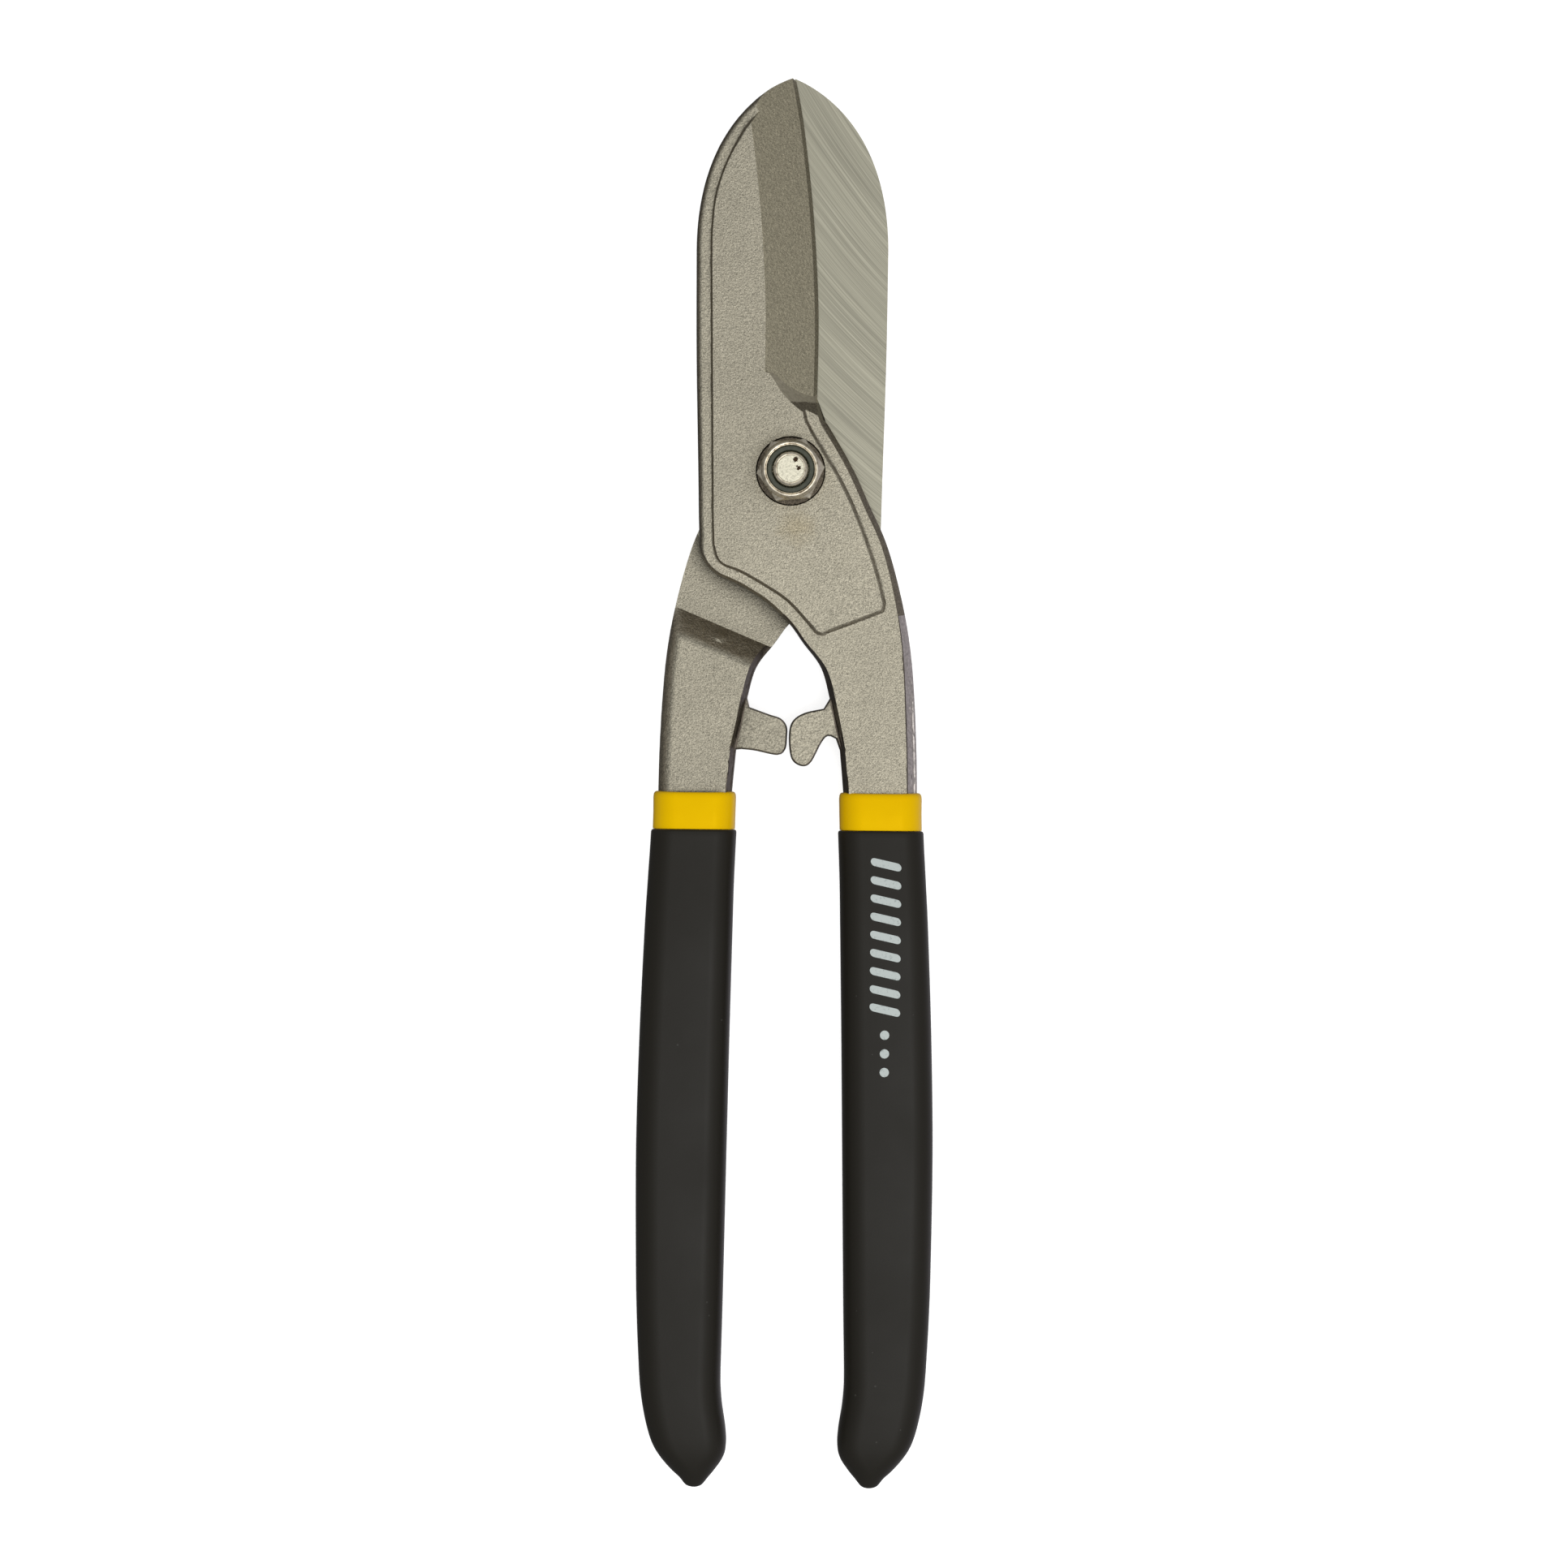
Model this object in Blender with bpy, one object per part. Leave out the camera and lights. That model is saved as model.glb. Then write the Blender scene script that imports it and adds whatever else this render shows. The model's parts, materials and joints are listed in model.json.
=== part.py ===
"""Forged straight-pattern tin snips, 305 mm long: two levers on one bolt, with dipped vinyl grips.

The tool lies flat with its tips towards +Y and its front towards +Z. The origin is under the middle of
its outline. Lengths are in millimetres until a mesh is made, and outlines are measured from the pivot.
The two levers are one shape: the rear lever is the front lever turned half a turn about the Y axis
through the cutting plane. Only their stop tabs differ.
"""

import math

import bmesh
import bpy
import numpy as np
from mathutils import Vector, geometry

MM = 0.001
GAP = 0.3  # clearance between separate pieces
TOUCH = 0.02  # points closer than this are one
LINE_CLEARANCE = 0.2  # how far creases stop short of an outline

PIVOT_Y = 67.25  # the pivot's place on the centre line of the whole outline
CUT_Z = 8.0  # height of the plane where the blades meet

# Levers: heights are measured from the cutting plane
LEDGE = 5.1  # rim around the raised panel, and the face of the handles
PANEL_RISE = 0.8
PANEL_STEP = 0.5
BLADE_EDGE = (3.7, 1.1)  # where a blade's side ends, and the width of the round above it
HANDLE_EDGE = (0.6, 2.3)  # the same on a handle, whose sides are drafted
JOGGLE_START, JOGGLE_END = 36.4, 41.9  # distances from the pivot where the back steps down
JOGGLE_AIM = math.radians(-67.4)  # the way these distances are measured
JOGGLE_Y = -45.0  # below this both faces are the handle's
TAB_HALF, TAB_ROUND = 2.3, 1.0
PALM_SWELL = 1.0  # extra half thickness of the handle inside the grip
END_THINNING = 1.5

# Cutting edge
EDGE_LAND = 0.8
EDGE_THICKNESS = 0.25
LAND_SLOPE = 1.12
BEVEL_SLOPE = 0.434
HEEL_SLOPE = 1.4

# Pivot
SHANK = 3.8
HOLE = SHANK + GAP + 0.2
NECK_HALF = 4.0
HEAD = 8.5
HEAD_CHAMFER = 0.5
HEAD_THICKNESS = CUT_Z - LEDGE - PANEL_RISE - GAP
SEAT = (7.75, 0.4)  # radius and depth of the nut's seat in the panel
SEAT_WALL = 0.15
NUT_ACROSS_FLATS = 12.7
NUT_TURN = math.radians(5.3)
HEX_HEIGHT, NUT_HEIGHT = 5.9, 8.0
COLLAR, RIM, INSERT_SEAT = 6.0, 5.2, 5.8
BOLT_END = 0.6  # how far the bolt stands out of the nut
SIDES = 24

# Grips: distances from the pivot along the handle
BAND_TOP, BAND_END = -69.6, -77.0
CAP_START, GRIP_END = -207.0, -219.6
BLACK_WALL, YELLOW_WALL = 0.6, 0.7
GRIP_CORNER = 5.0
GRIP_HALF_THICKNESS = 8.0
GRIP_STATIONS = (-84.0, -93.0, -105.0, -125.0, -146.0, -165.0, -185.0, -198.0)
CAP_SHARES = (0.0, 0.35, 0.6, 0.8, 0.93, 0.99)

STEEL = ((0.38, 0.35, 0.28), 0.42, 1.0)
BRIGHT = ((0.66, 0.62, 0.52), 0.25, 1.0)
YELLOW = ((0.80, 0.47, 0.003), 0.3, 0.0)
BLACK = ((0.03, 0.028, 0.024), 0.38, 0.0)
NYLON = ((0.09, 0.08, 0.05), 0.5, 0.0)

# Front lever's outline, clockwise from the tip
CUTTING_EDGE = [(0.5, 84.4), (2.3, 74.3), (4.5, 55.4), (5.7, 35.2), (5.6, 16.0)]
HEEL_EDGE = [(7.5, 10.9), (13.1, 1.4), (17.1, -7.2), (20.9, -15.6), (23.9, -26.0), (26.0, -36.5)]
HANDLE_OUTER = [
    (27.1, -47.0), (27.8, -61.0), (28.0, -75.0), (29.3, -105.0), (30.2, -146.0), (28.9, -195.0),
]
HANDLE_TOE = [(27.2, -205.0), (23.6, -211.6), (19.4, -213.6), (15.6, -210.6), (14.0, -205.0)]
HANDLE_INNER = [
    (14.9, -195.0), (14.4, -146.0), (13.6, -105.0), (12.95, -77.5), (12.1, -70.0), (11.75, -66.0),
    (11.2, -60.0),
]
CROTCH = [(8.9, -48.8), (7.0, -42.2), (3.0, -36.8), (0.0, -32.7), (-5.1, -28.0), (-11.0, -24.4)]
HIP = [(-16.2, -21.9), (-19.1, -18.0), (-19.6, -12.6), (-19.9, 0.0), (-20.5, 25.0), (-20.7, 47.7)]
NOSE = [(-20.7, 47.7), (-20.7, 71.8), (-8.3, 81.8), (-0.3, 85.1)]  # Bezier control points

# Stop tabs, from the handle's lower side round to its upper side
HOOK_TAB = [
    (10.3, -57.5), (8.6, -56.9), (7.2, -58.4), (5.0, -62.6), (3.1, -63.5), (1.0, -62.3),
    (0.25, -59.5), (0.25, -55.6), (1.2, -53.4), (3.6, -51.9), (7.6, -51.0),
]
BLOCK_TAB = [
    (10.1, -59.9), (7.1, -60.2), (2.3, -61.1), (0.6, -59.9), (0.25, -57.4), (0.3, -54.9),
    (1.6, -53.2), (4.2, -52.3), (8.4, -50.8),
]

# Raised panel on the outer face; its right side is left open under the bevel
PANEL_LEFT = [(-6.6, 78.2), (-10.8, 73.8), (-15.5, 64.1), (-17.6, 53.1), (-17.5, 30.0), (-16.8, -15.5)]
PANEL_FOOT = [(-14.6, -20.3), (-5.3, -24.7), (1.9, -31.2), (6.0, -35.2), (19.3, -30.3)]
PANEL_RIGHT = [(21.0, -28.2), (18.3, -18.4), (14.2, -7.7), (10.2, 0.2), (5.1, 8.4), (3.3, 12.3)]
PANEL_UNDER_BEVEL = [(2.0, 22.0), (-1.5, 50.0), (-4.6, 75.0)]

# Where the bevel's cutter ran out at the heel: its top edge, and its foot on the bevel
HEEL_TOP = [(-6.5, 21.4), (-4.9, 21.0), (-3.9, 19.2), (-0.9, 16.5), (2.1, 14.1), (7.4, 10.9)]
HEEL_FOOT = [(-4.3, 20.7), (-2.1, 19.1), (0.9, 17.9), (4.9, 16.5)]

# Black grip's inner and outer side at distances along the handle
GRIP_SIDES = [
    (-69.6, 10.0, 30.25), (-77.0, 11.0, 29.9), (-105.0, 11.7, 31.2), (-146.0, 12.5, 32.1),
    (-180.0, 12.9, 31.6), (-198.0, 13.0, 30.5), (-207.0, 12.0, 29.0),
]


def smooth(t):
    t = np.clip(t, 0.0, 1.0)
    return t * t * (3.0 - 2.0 * t)


def spline(points, step):
    """Points about a step apart on a Catmull-Rom curve through the given points."""
    p = np.array([points[0], *points, points[-1]], float)
    out = []
    for a, b, c, d in zip(p, p[1:], p[2:], p[3:]):
        count = max(1, round(np.linalg.norm(c - b) / step))
        t = (np.arange(count) / count)[:, None]
        out.append(
            b + 0.5 * t * (c - a + t * (2 * a - 5 * b + 4 * c - d + t * (3 * (b - c) + d - a)))
        )
    return np.vstack([*out, p[-1:]])


def bezier(p, count):
    p = np.array(p, float)
    t = np.linspace(0.0, 1.0, count + 1)[:, None]
    return (
        (1 - t) ** 3 * p[0] + 3 * (1 - t) ** 2 * t * p[1] + 3 * (1 - t) * t**2 * p[2] + t**3 * p[3]
    )


def lever_loops(tab):
    """The lever's outline with its tab, and its outline without."""
    edge = spline(CUTTING_EDGE, 8.0)
    outer = spline(HEEL_EDGE + HANDLE_OUTER + HANDLE_TOE + HANDLE_INNER, 7.0)
    hip = spline(CROTCH + HIP, 4.0)
    nose = bezier(NOSE, 9)[1:]
    with_tab = np.vstack([edge, outer, spline(tab, 2.5), hip, nose])
    return with_tab, np.vstack([edge, outer, hip, nose])


def inside(points, loop):
    x, y = points[:, :1], points[:, 1:]
    (ax, ay), (bx, by) = loop.T, np.roll(loop, -1, axis=0).T
    spans = (ay > y) != (by > y)
    rise = np.where(by == ay, 1.0, by - ay)
    return (spans & (x < ax + (y - ay) / rise * (bx - ax))).sum(axis=1) % 2 == 1


def distance(points, line, is_loop=True):
    ends = np.roll(line, -1, axis=0) if is_loop else line[1:]
    starts = line if is_loop else line[:-1]
    along = ends - starts
    share = ((points[:, None] - starts) * along).sum(2) / (along**2).sum(1)
    nearest = starts + np.clip(share, 0.0, 1.0)[..., None] * along
    return np.linalg.norm(points[:, None] - nearest, axis=2).min(1)


def depth(points, loop):
    """Distance from the loop, negative outside it."""
    return np.where(inside(points, loop), 1.0, -1.0) * distance(points, loop)


def handle_share(y):
    return smooth((-12.0 - y) / 45.0)


def edge_width(y):
    return BLADE_EDGE[1] + (HANDLE_EDGE[1] - BLADE_EDGE[1]) * handle_share(y)


def half_thickness(y):
    return LEDGE + PALM_SWELL * smooth((-80.0 - y) / 22.0) - END_THINNING * smooth((-178.0 - y) / 28.0)


def rounded(share, low, high):
    return low + (high - low) * np.sqrt(1.0 - (1.0 - np.clip(share, 0.0, 1.0)) ** 2)


def forged_face(points, core, low):
    """Height of a face whose sides round off to the given height at the outline."""
    y = points[:, 1]
    return rounded(depth(points, core) / edge_width(y), low, half_thickness(y))


def tab_face(points, outline):
    return rounded(depth(points, outline) / TAB_ROUND, HANDLE_EDGE[0], TAB_HALF)


def panel_loop():
    right = PANEL_RIGHT + PANEL_UNDER_BEVEL
    return np.vstack([spline(PANEL_LEFT, 8.0), spline(PANEL_FOOT, 6.0), spline(right, 8.0)])


def cut_face(points):
    """Height left by the bevel, the narrow land at its edge and the cutter's run-out at the heel."""
    edge = spline(CUTTING_EDGE, 2.0)[::-1]
    across = np.interp(points[:, 1], edge[:, 1], edge[:, 0]) - points[:, 0]
    land = GAP / 2 + EDGE_THICKNESS + LAND_SLOPE * across
    bevel = GAP / 2 + EDGE_THICKNESS + LAND_SLOPE * EDGE_LAND + BEVEL_SLOPE * (across - EDGE_LAND)
    beyond = [(40.0, 10.9), (40.0, 110.0), (-40.0, 110.0), (-40.0, 21.4)]
    zone = np.vstack([spline(HEEL_TOP, 2.0), beyond])
    heel = LEDGE + PANEL_RISE - HEEL_SLOPE * depth(points, zone)
    return np.maximum(np.minimum(land, bevel), heel)


def front_face(outline, core, seat):
    """The height of a lever's outer face as a function of points, with the nut's seat if it has one."""
    def height(points):
        y = points[:, 1]
        low = BLADE_EDGE[0] + (HANDLE_EDGE[0] - BLADE_EDGE[0]) * handle_share(y)
        face = forged_face(points, core, low)
        face += PANEL_RISE * np.clip(depth(points, panel_loop()) / PANEL_STEP, 0.0, 1.0)
        if seat:
            face -= np.where(np.hypot(*points.T) < seat[0] + TOUCH, seat[1], 0.0)
        face = np.minimum(face, cut_face(points))
        return np.where(y < JOGGLE_Y, np.maximum(face, tab_face(points, outline)), face)

    return height


def joggle_reach(points):
    """Distance from the pivot towards the joggle."""
    return points @ [math.cos(JOGGLE_AIM), math.sin(JOGGLE_AIM)]


def joggle_line(reach):
    """A straight crease across the handle at a distance from the pivot."""
    ahead = np.array([math.cos(JOGGLE_AIM), math.sin(JOGGLE_AIM)])
    across = np.array([-ahead[1], ahead[0]])
    return reach * ahead + np.linspace(-22.0, 30.0, 14)[:, None] * across


def back_face(outline, core):
    """The height of a lever's inner face: flat on the blade, and stepped down at the joggle."""
    def height(points):
        full = np.maximum(forged_face(points, core, HANDLE_EDGE[0]), tab_face(points, outline))
        share = np.clip((joggle_reach(points) - JOGGLE_START) / (JOGGLE_END - JOGGLE_START), 0.0, 1.0)
        return GAP / 2 - (full + GAP / 2) * share

    return height


def inset(loop, amounts):
    """The loop moved inwards, as (points, which of them are good, whether it is closed)."""
    after, before = np.roll(loop, -1, axis=0), np.roll(loop, 1, axis=0)
    along = after - before
    turned_area = (loop[:, 0] * after[:, 1] - loop[:, 1] * after[:, 0]).sum()
    inward = np.column_stack([-along[:, 1], along[:, 0]]) * np.sign(turned_area)
    amounts = np.broadcast_to(amounts, len(loop))
    row = loop + inward * (amounts / np.linalg.norm(along, axis=1))[:, None]
    return row, inside(row, loop) & (distance(row, loop) > 0.9 * amounts), True


def whole(points, is_loop=False):
    return points, np.ones(len(points), bool), is_loop


def arc(radius, count=48):
    turn = np.arange(count) * (2 * math.pi / count)
    return np.column_stack([np.cos(turn), np.sin(turn)]) * radius


def rounding_rows(core):
    """Rows of points across the rounded edge, closest together where it is steepest."""
    return [inset(core, share * edge_width(core[:, 1])) for share in (0.12, 0.45, 1.0)]


def bevel_reach(height):
    """How far from the cutting edge the bevel reaches a height."""
    return EDGE_LAND + (height - GAP / 2 - EDGE_THICKNESS - LAND_SLOPE * EDGE_LAND) / BEVEL_SLOPE


def front_lines(core, seat):
    """Where the outer face creases."""
    above_heel = [*CUTTING_EDGE[:-1], (5.7, 24.0)]
    lines = rounding_rows(core) + [
        whole(panel_loop(), True),
        inset(panel_loop(), PANEL_STEP),
        whole(spline(CUTTING_EDGE, 8.0) - [EDGE_LAND, 0.0]),
        whole(spline(above_heel, 8.0) - [bevel_reach(LEDGE + PANEL_RISE), 0.0]),
        whole(spline(HEEL_TOP, 3.0)),
        whole(spline(HEEL_FOOT, 3.0)),
    ]
    if seat:
        lines += [whole(arc(seat[0] + extra, 32), True) for extra in (0.0, SEAT_WALL)]
    return lines


def back_lines(core):
    """Where the inner face creases."""
    rows = [(row, kept & (joggle_reach(row) > JOGGLE_END), True) for row, kept, _ in rounding_rows(core)]
    return rows + [whole(joggle_line(reach)) for reach in (JOGGLE_START, JOGGLE_END)]


def clear_runs(outline, lines):
    """The stretches of the lines that stay clear of the outline, so that its edge isn't cut by them."""
    runs = []
    for points, kept, is_loop in lines:
        clear = kept & inside(points, outline) & (distance(points, outline) > LINE_CLEARANCE)
        run = []
        for point, is_clear in zip(points, clear):
            if is_clear:
                run.append(point)
                continue
            runs.append(run)
            run = []
        if is_loop and clear.all():
            run.append(points[0])
        runs.append(run)
    return [run for run in runs if run]


def triangulated(outline, hole, lines, height):
    """Points and triangles of one face, and the places of the outline's and the hole's points."""
    points = [*outline, *hole]
    first_hole = len(outline)
    edges = [(i, (i + 1) % first_hole) for i in range(first_hole)]
    edges += [(first_hole + i, first_hole + (i + 1) % len(hole)) for i in range(len(hole))]
    for line in clear_runs(outline, lines):
        start = len(points)
        points += line
        edges += [(start + i, start + i + 1) for i in range(len(line) - 1)]
    result = geometry.delaunay_2d_cdt([Vector(p) for p in points], edges, [], 0, TOUCH)
    flat = np.array([tuple(p) for p in result[0]])
    place = {source: i for i, sources in enumerate(result[3]) for source in sources}
    rims = [place[i] for i in range(first_hole)], [place[first_hole + i] for i in range(len(hole))]
    flat[rims[0]] = outline
    flat[rims[1]] = hole
    faces = np.array(result[2])
    centres = flat[faces].mean(axis=1)
    faces = faces[inside(centres, outline) & ~inside(centres, hole)]
    return np.column_stack([flat, height(flat)]), faces, rims


def lever_mesh(tab, hole, seat):
    """A closed mesh from the two faces of a lever and the walls that join them."""
    outline, core = lever_loops(tab)
    front = triangulated(outline, hole, front_lines(core, seat), front_face(outline, core, seat))
    back = triangulated(outline, hole, back_lines(core), back_face(outline, core))
    mesh = bmesh.new()
    sides = []
    for points, faces, rims in (front, back):
        made = [mesh.verts.new(p) for p in points]
        for face in faces:
            mesh.faces.new([made[i] for i in face])
        sides.append([[made[i] for i in rim] for rim in rims])
    for above, below in zip(*sides):
        for i in range(len(above)):
            j = (i + 1) % len(above)
            mesh.faces.new([above[i], above[j], below[j], below[i]])
    loose = [v for v in mesh.verts if not v.link_faces]
    bmesh.ops.delete(mesh, geom=loose, context="VERTS")
    return mesh


def circle(radius):
    return lambda turn: np.full_like(turn, radius)


def polygon(apothem, sides, start=0.0):
    part = 2 * math.pi / sides
    return lambda turn: apothem / np.cos((turn - start) % part - part / 2)


def smaller(first, second):
    return lambda turn: np.minimum(first(turn), second(turn))


def turned_mesh(rings, start=0.0, is_ring=False):
    """A closed mesh through rings of (radius by angle, height); a ring's last joins its first."""
    turn = start + np.arange(SIDES) * (2 * math.pi / SIDES)
    mesh = bmesh.new()
    loops = []
    for radius, z in rings:
        r = radius(turn)
        loops.append([mesh.verts.new(p) for p in zip(r * np.cos(turn), r * np.sin(turn), [z] * SIDES)])
    pairs = list(zip(loops, loops[1:]))
    if is_ring:
        pairs.append((loops[-1], loops[0]))
    else:
        mesh.faces.new(loops[0])
        mesh.faces.new(loops[-1])
    for low, high in pairs:
        for i in range(SIDES):
            j = (i + 1) % SIDES
            mesh.faces.new([low[i], low[j], high[j], high[i]])
    return mesh


def grip_frame(y, offset):
    """Middle, half width and half thickness of the grip's section, made smaller by an offset."""
    stations = np.array(GRIP_SIDES)[::-1]
    inner = np.interp(y, stations[:, 0], stations[:, 1])
    outer = np.interp(y, stations[:, 0], stations[:, 2])
    swell = smooth((BAND_END - y) / 22.0) - 0.7 * smooth((-188.0 - y) / 20.0)
    thickness = GRIP_HALF_THICKNESS - 1.0 + swell
    return (inner + outer) / 2, (outer - inner) / 2 - offset, thickness - offset


def section(middle, width, thickness, y, corner):
    """A rounded rectangle across the handle, counted from its right side."""
    corner = min(corner, 0.98 * width, 0.98 * thickness)
    points = []
    for quarter in range(4):
        for step in range(5):
            turn = math.radians(90 * quarter + 22.5 * step)
            side_x = 1 if quarter in (0, 3) else -1
            side_z = 1 if quarter in (0, 1) else -1
            x = side_x * (width - corner) + corner * math.cos(turn)
            z = side_z * (thickness - corner) + corner * math.sin(turn)
            points.append((middle + x, y, z))
    return points


def grip_sections(top, offset):
    """Sections from the top of the coat down to its closed end."""
    corner = GRIP_CORNER - offset
    stations = [top, *GRIP_STATIONS]
    rows = [section(*grip_frame(y, offset), y, corner) for y in stations]
    middle, width, thickness = grip_frame(CAP_START, offset)
    reach = CAP_START - GRIP_END - 1.6 * offset
    for u in CAP_SHARES:
        size = (1.0 - u**2.2) ** 0.8
        drift = 1.5 * (1.0 - (1.0 - u) ** 2.5)
        y = CAP_START - reach * u
        rows.append(section(middle - drift, width * size, thickness * size, y, corner * size))
    return rows


def cup_mesh(outer_rows, inner_rows):
    """A coat closed at its far end and open at its top."""
    mesh = bmesh.new()
    skins = [[[mesh.verts.new(p) for p in row] for row in rows] for rows in (outer_rows, inner_rows)]
    bands = [pair for skin in skins for pair in zip(skin, skin[1:])]
    bands.append((skins[0][0], skins[1][0]))
    for first, second in bands:
        for i in range(len(first)):
            j = (i + 1) % len(first)
            mesh.faces.new([first[i], first[j], second[j], second[i]])
    for skin in skins:
        mesh.faces.new(skin[-1])
    return mesh


def grip_mesh():
    return cup_mesh(grip_sections(BAND_END, 0.0), grip_sections(BAND_END, BLACK_WALL))


def undercoat_mesh():
    """Thicker where it shows above the black coat, thinner underneath it."""
    covered = BLACK_WALL + GAP
    band = []
    for y, offset in ((BAND_TOP, 1.3), (BAND_TOP - 0.9, 1.0), (BAND_END + GAP, 0.2)):
        band.append(section(*grip_frame(y, offset), y, GRIP_CORNER))
    below = grip_sections(BAND_END + 0.25, covered)
    inner = grip_sections(BAND_TOP, covered + YELLOW_WALL)
    return cup_mesh(band + below, inner)


def material(name, colour, roughness, metallic):
    made = bpy.data.materials.new(name)
    made.use_nodes = True
    shader = made.node_tree.nodes["Principled BSDF"]
    shader.inputs["Base Color"].default_value = (*colour, 1.0)
    shader.inputs["Roughness"].default_value = roughness
    shader.inputs["Metallic"].default_value = metallic
    return made


def add_part(name, mesh, finish, parent, flipped=False):
    """Turns the mesh into an object on the pivot; a flipped part is turned half a turn about Y."""
    bmesh.ops.scale(mesh, vec=Vector((MM, MM, MM)), verts=mesh.verts)
    bmesh.ops.recalc_face_normals(mesh, faces=mesh.faces)
    bmesh.ops.triangulate(mesh, faces=mesh.faces)
    data = bpy.data.meshes.new(name)
    mesh.to_mesh(data)
    mesh.free()
    data.shade_smooth()
    data.set_sharp_from_angle(angle=math.radians(30))
    data.materials.append(material(name, *finish))
    part = bpy.data.objects.new(name, data)
    bpy.context.scene.collection.objects.link(part)
    part.parent = parent
    part.rotation_euler.y = math.pi if flipped else 0.0
    return part


def pivot_empty(name):
    empty = bpy.data.objects.new(name, None)
    empty.location = (0.0, PIVOT_Y * MM, CUT_Z * MM)
    bpy.context.scene.collection.objects.link(empty)
    return empty


def add_bolt(parent):
    square = polygon(NECK_HALF, 4)
    head_top = HEAD_THICKNESS - CUT_Z
    nut_top = LEDGE + PANEL_RISE - SEAT[1] + GAP + NUT_HEIGHT
    end = nut_top + BOLT_END
    rings = [
        (circle(HEAD - HEAD_CHAMFER), -CUT_Z),
        (circle(HEAD), HEAD_CHAMFER - CUT_Z),
        (circle(HEAD), head_top),
        (square, head_top),
        (square, -GAP / 2),
        (circle(SHANK), -GAP / 2),
        (circle(SHANK), end - 0.8),
        (circle(SHANK - 0.8), end),
    ]
    add_part("pivot_bolt", turned_mesh(rings), BRIGHT, parent)


def add_nut(parent):
    base = LEDGE + PANEL_RISE - SEAT[1] + GAP
    flats = polygon(NUT_ACROSS_FLATS / 2, 6, NUT_TURN)
    bore = circle(SHANK + GAP)
    rings = [
        (bore, base),
        (circle(NUT_ACROSS_FLATS / 2 - 0.1), base),
        (flats, base + 0.5),
        (flats, base + HEX_HEIGHT - 0.7),
        (smaller(flats, circle(NUT_ACROSS_FLATS / 2 + 0.1)), base + HEX_HEIGHT),
        (circle(COLLAR), base + HEX_HEIGHT + 0.1),
        (circle(COLLAR), base + NUT_HEIGHT - 0.8),
        (circle(RIM + 0.3), base + NUT_HEIGHT),
        (circle(RIM), base + NUT_HEIGHT - 0.2),
        (circle(RIM), base + INSERT_SEAT),
        (bore, base + INSERT_SEAT),
    ]
    add_part("lock_nut", turned_mesh(rings, NUT_TURN, is_ring=True), BRIGHT, parent)
    insert = [
        (circle(SHANK + GAP), base + INSERT_SEAT + GAP),
        (circle(RIM - GAP), base + INSERT_SEAT + GAP),
        (circle(RIM - GAP), base + NUT_HEIGHT - 0.4),
        (circle(SHANK + GAP), base + NUT_HEIGHT - 0.3),
    ]
    add_part("nut_insert", turned_mesh(insert, is_ring=True), NYLON, parent)


def square_loop(half):
    turn = np.arange(16) * (math.pi / 8)
    return np.column_stack([np.cos(turn), np.sin(turn)]) * polygon(half, 4)(turn)[:, None]


def main():
    for old in list(bpy.data.objects):
        bpy.data.objects.remove(old)
    rear = pivot_empty("rear_side")
    front = pivot_empty("front_side")
    square_hole = square_loop(NECK_HALF + GAP)
    add_part("rear_lever", lever_mesh(BLOCK_TAB, square_hole, None), STEEL, rear, True)
    add_part("front_lever", lever_mesh(HOOK_TAB, arc(HOLE, SIDES), SEAT), STEEL, front)
    add_bolt(rear)
    add_nut(rear)
    add_part("left_undercoat", undercoat_mesh(), YELLOW, rear, True)
    add_part("left_grip", grip_mesh(), BLACK, rear, True)
    add_part("right_undercoat", undercoat_mesh(), YELLOW, front)
    add_part("right_grip", grip_mesh(), BLACK, front)


main()
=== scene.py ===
"""Looks of the forged tin snips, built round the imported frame.

Shapes are worked out in millimetres from the pivot and the plane where the blades meet, as in the CAD,
and become metres in the frame when a mesh is made. Each lever is two faces, front and back, whose points
are triangulated between creases and then lifted to a height that is a function of their place.
"""

import json
import math

import bmesh
import bpy
import numpy as np
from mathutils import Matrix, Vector, geometry, kdtree, noise


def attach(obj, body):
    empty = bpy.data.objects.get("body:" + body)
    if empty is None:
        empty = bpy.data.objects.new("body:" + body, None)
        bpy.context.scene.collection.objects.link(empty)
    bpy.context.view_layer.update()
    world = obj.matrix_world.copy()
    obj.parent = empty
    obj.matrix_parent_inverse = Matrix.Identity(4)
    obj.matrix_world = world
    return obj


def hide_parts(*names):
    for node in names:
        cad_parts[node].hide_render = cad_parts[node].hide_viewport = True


MM = 0.001
GAP = 0.3

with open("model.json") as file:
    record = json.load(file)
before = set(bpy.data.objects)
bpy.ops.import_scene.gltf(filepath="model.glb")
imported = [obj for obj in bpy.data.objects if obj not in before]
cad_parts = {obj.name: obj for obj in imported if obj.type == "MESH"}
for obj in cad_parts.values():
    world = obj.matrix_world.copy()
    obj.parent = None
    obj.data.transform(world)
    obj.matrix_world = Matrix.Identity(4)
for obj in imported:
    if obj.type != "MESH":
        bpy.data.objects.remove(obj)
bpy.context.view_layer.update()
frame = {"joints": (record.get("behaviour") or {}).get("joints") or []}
PIVOT = np.array(frame["joints"][0]["pos_m"]) / MM

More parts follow.
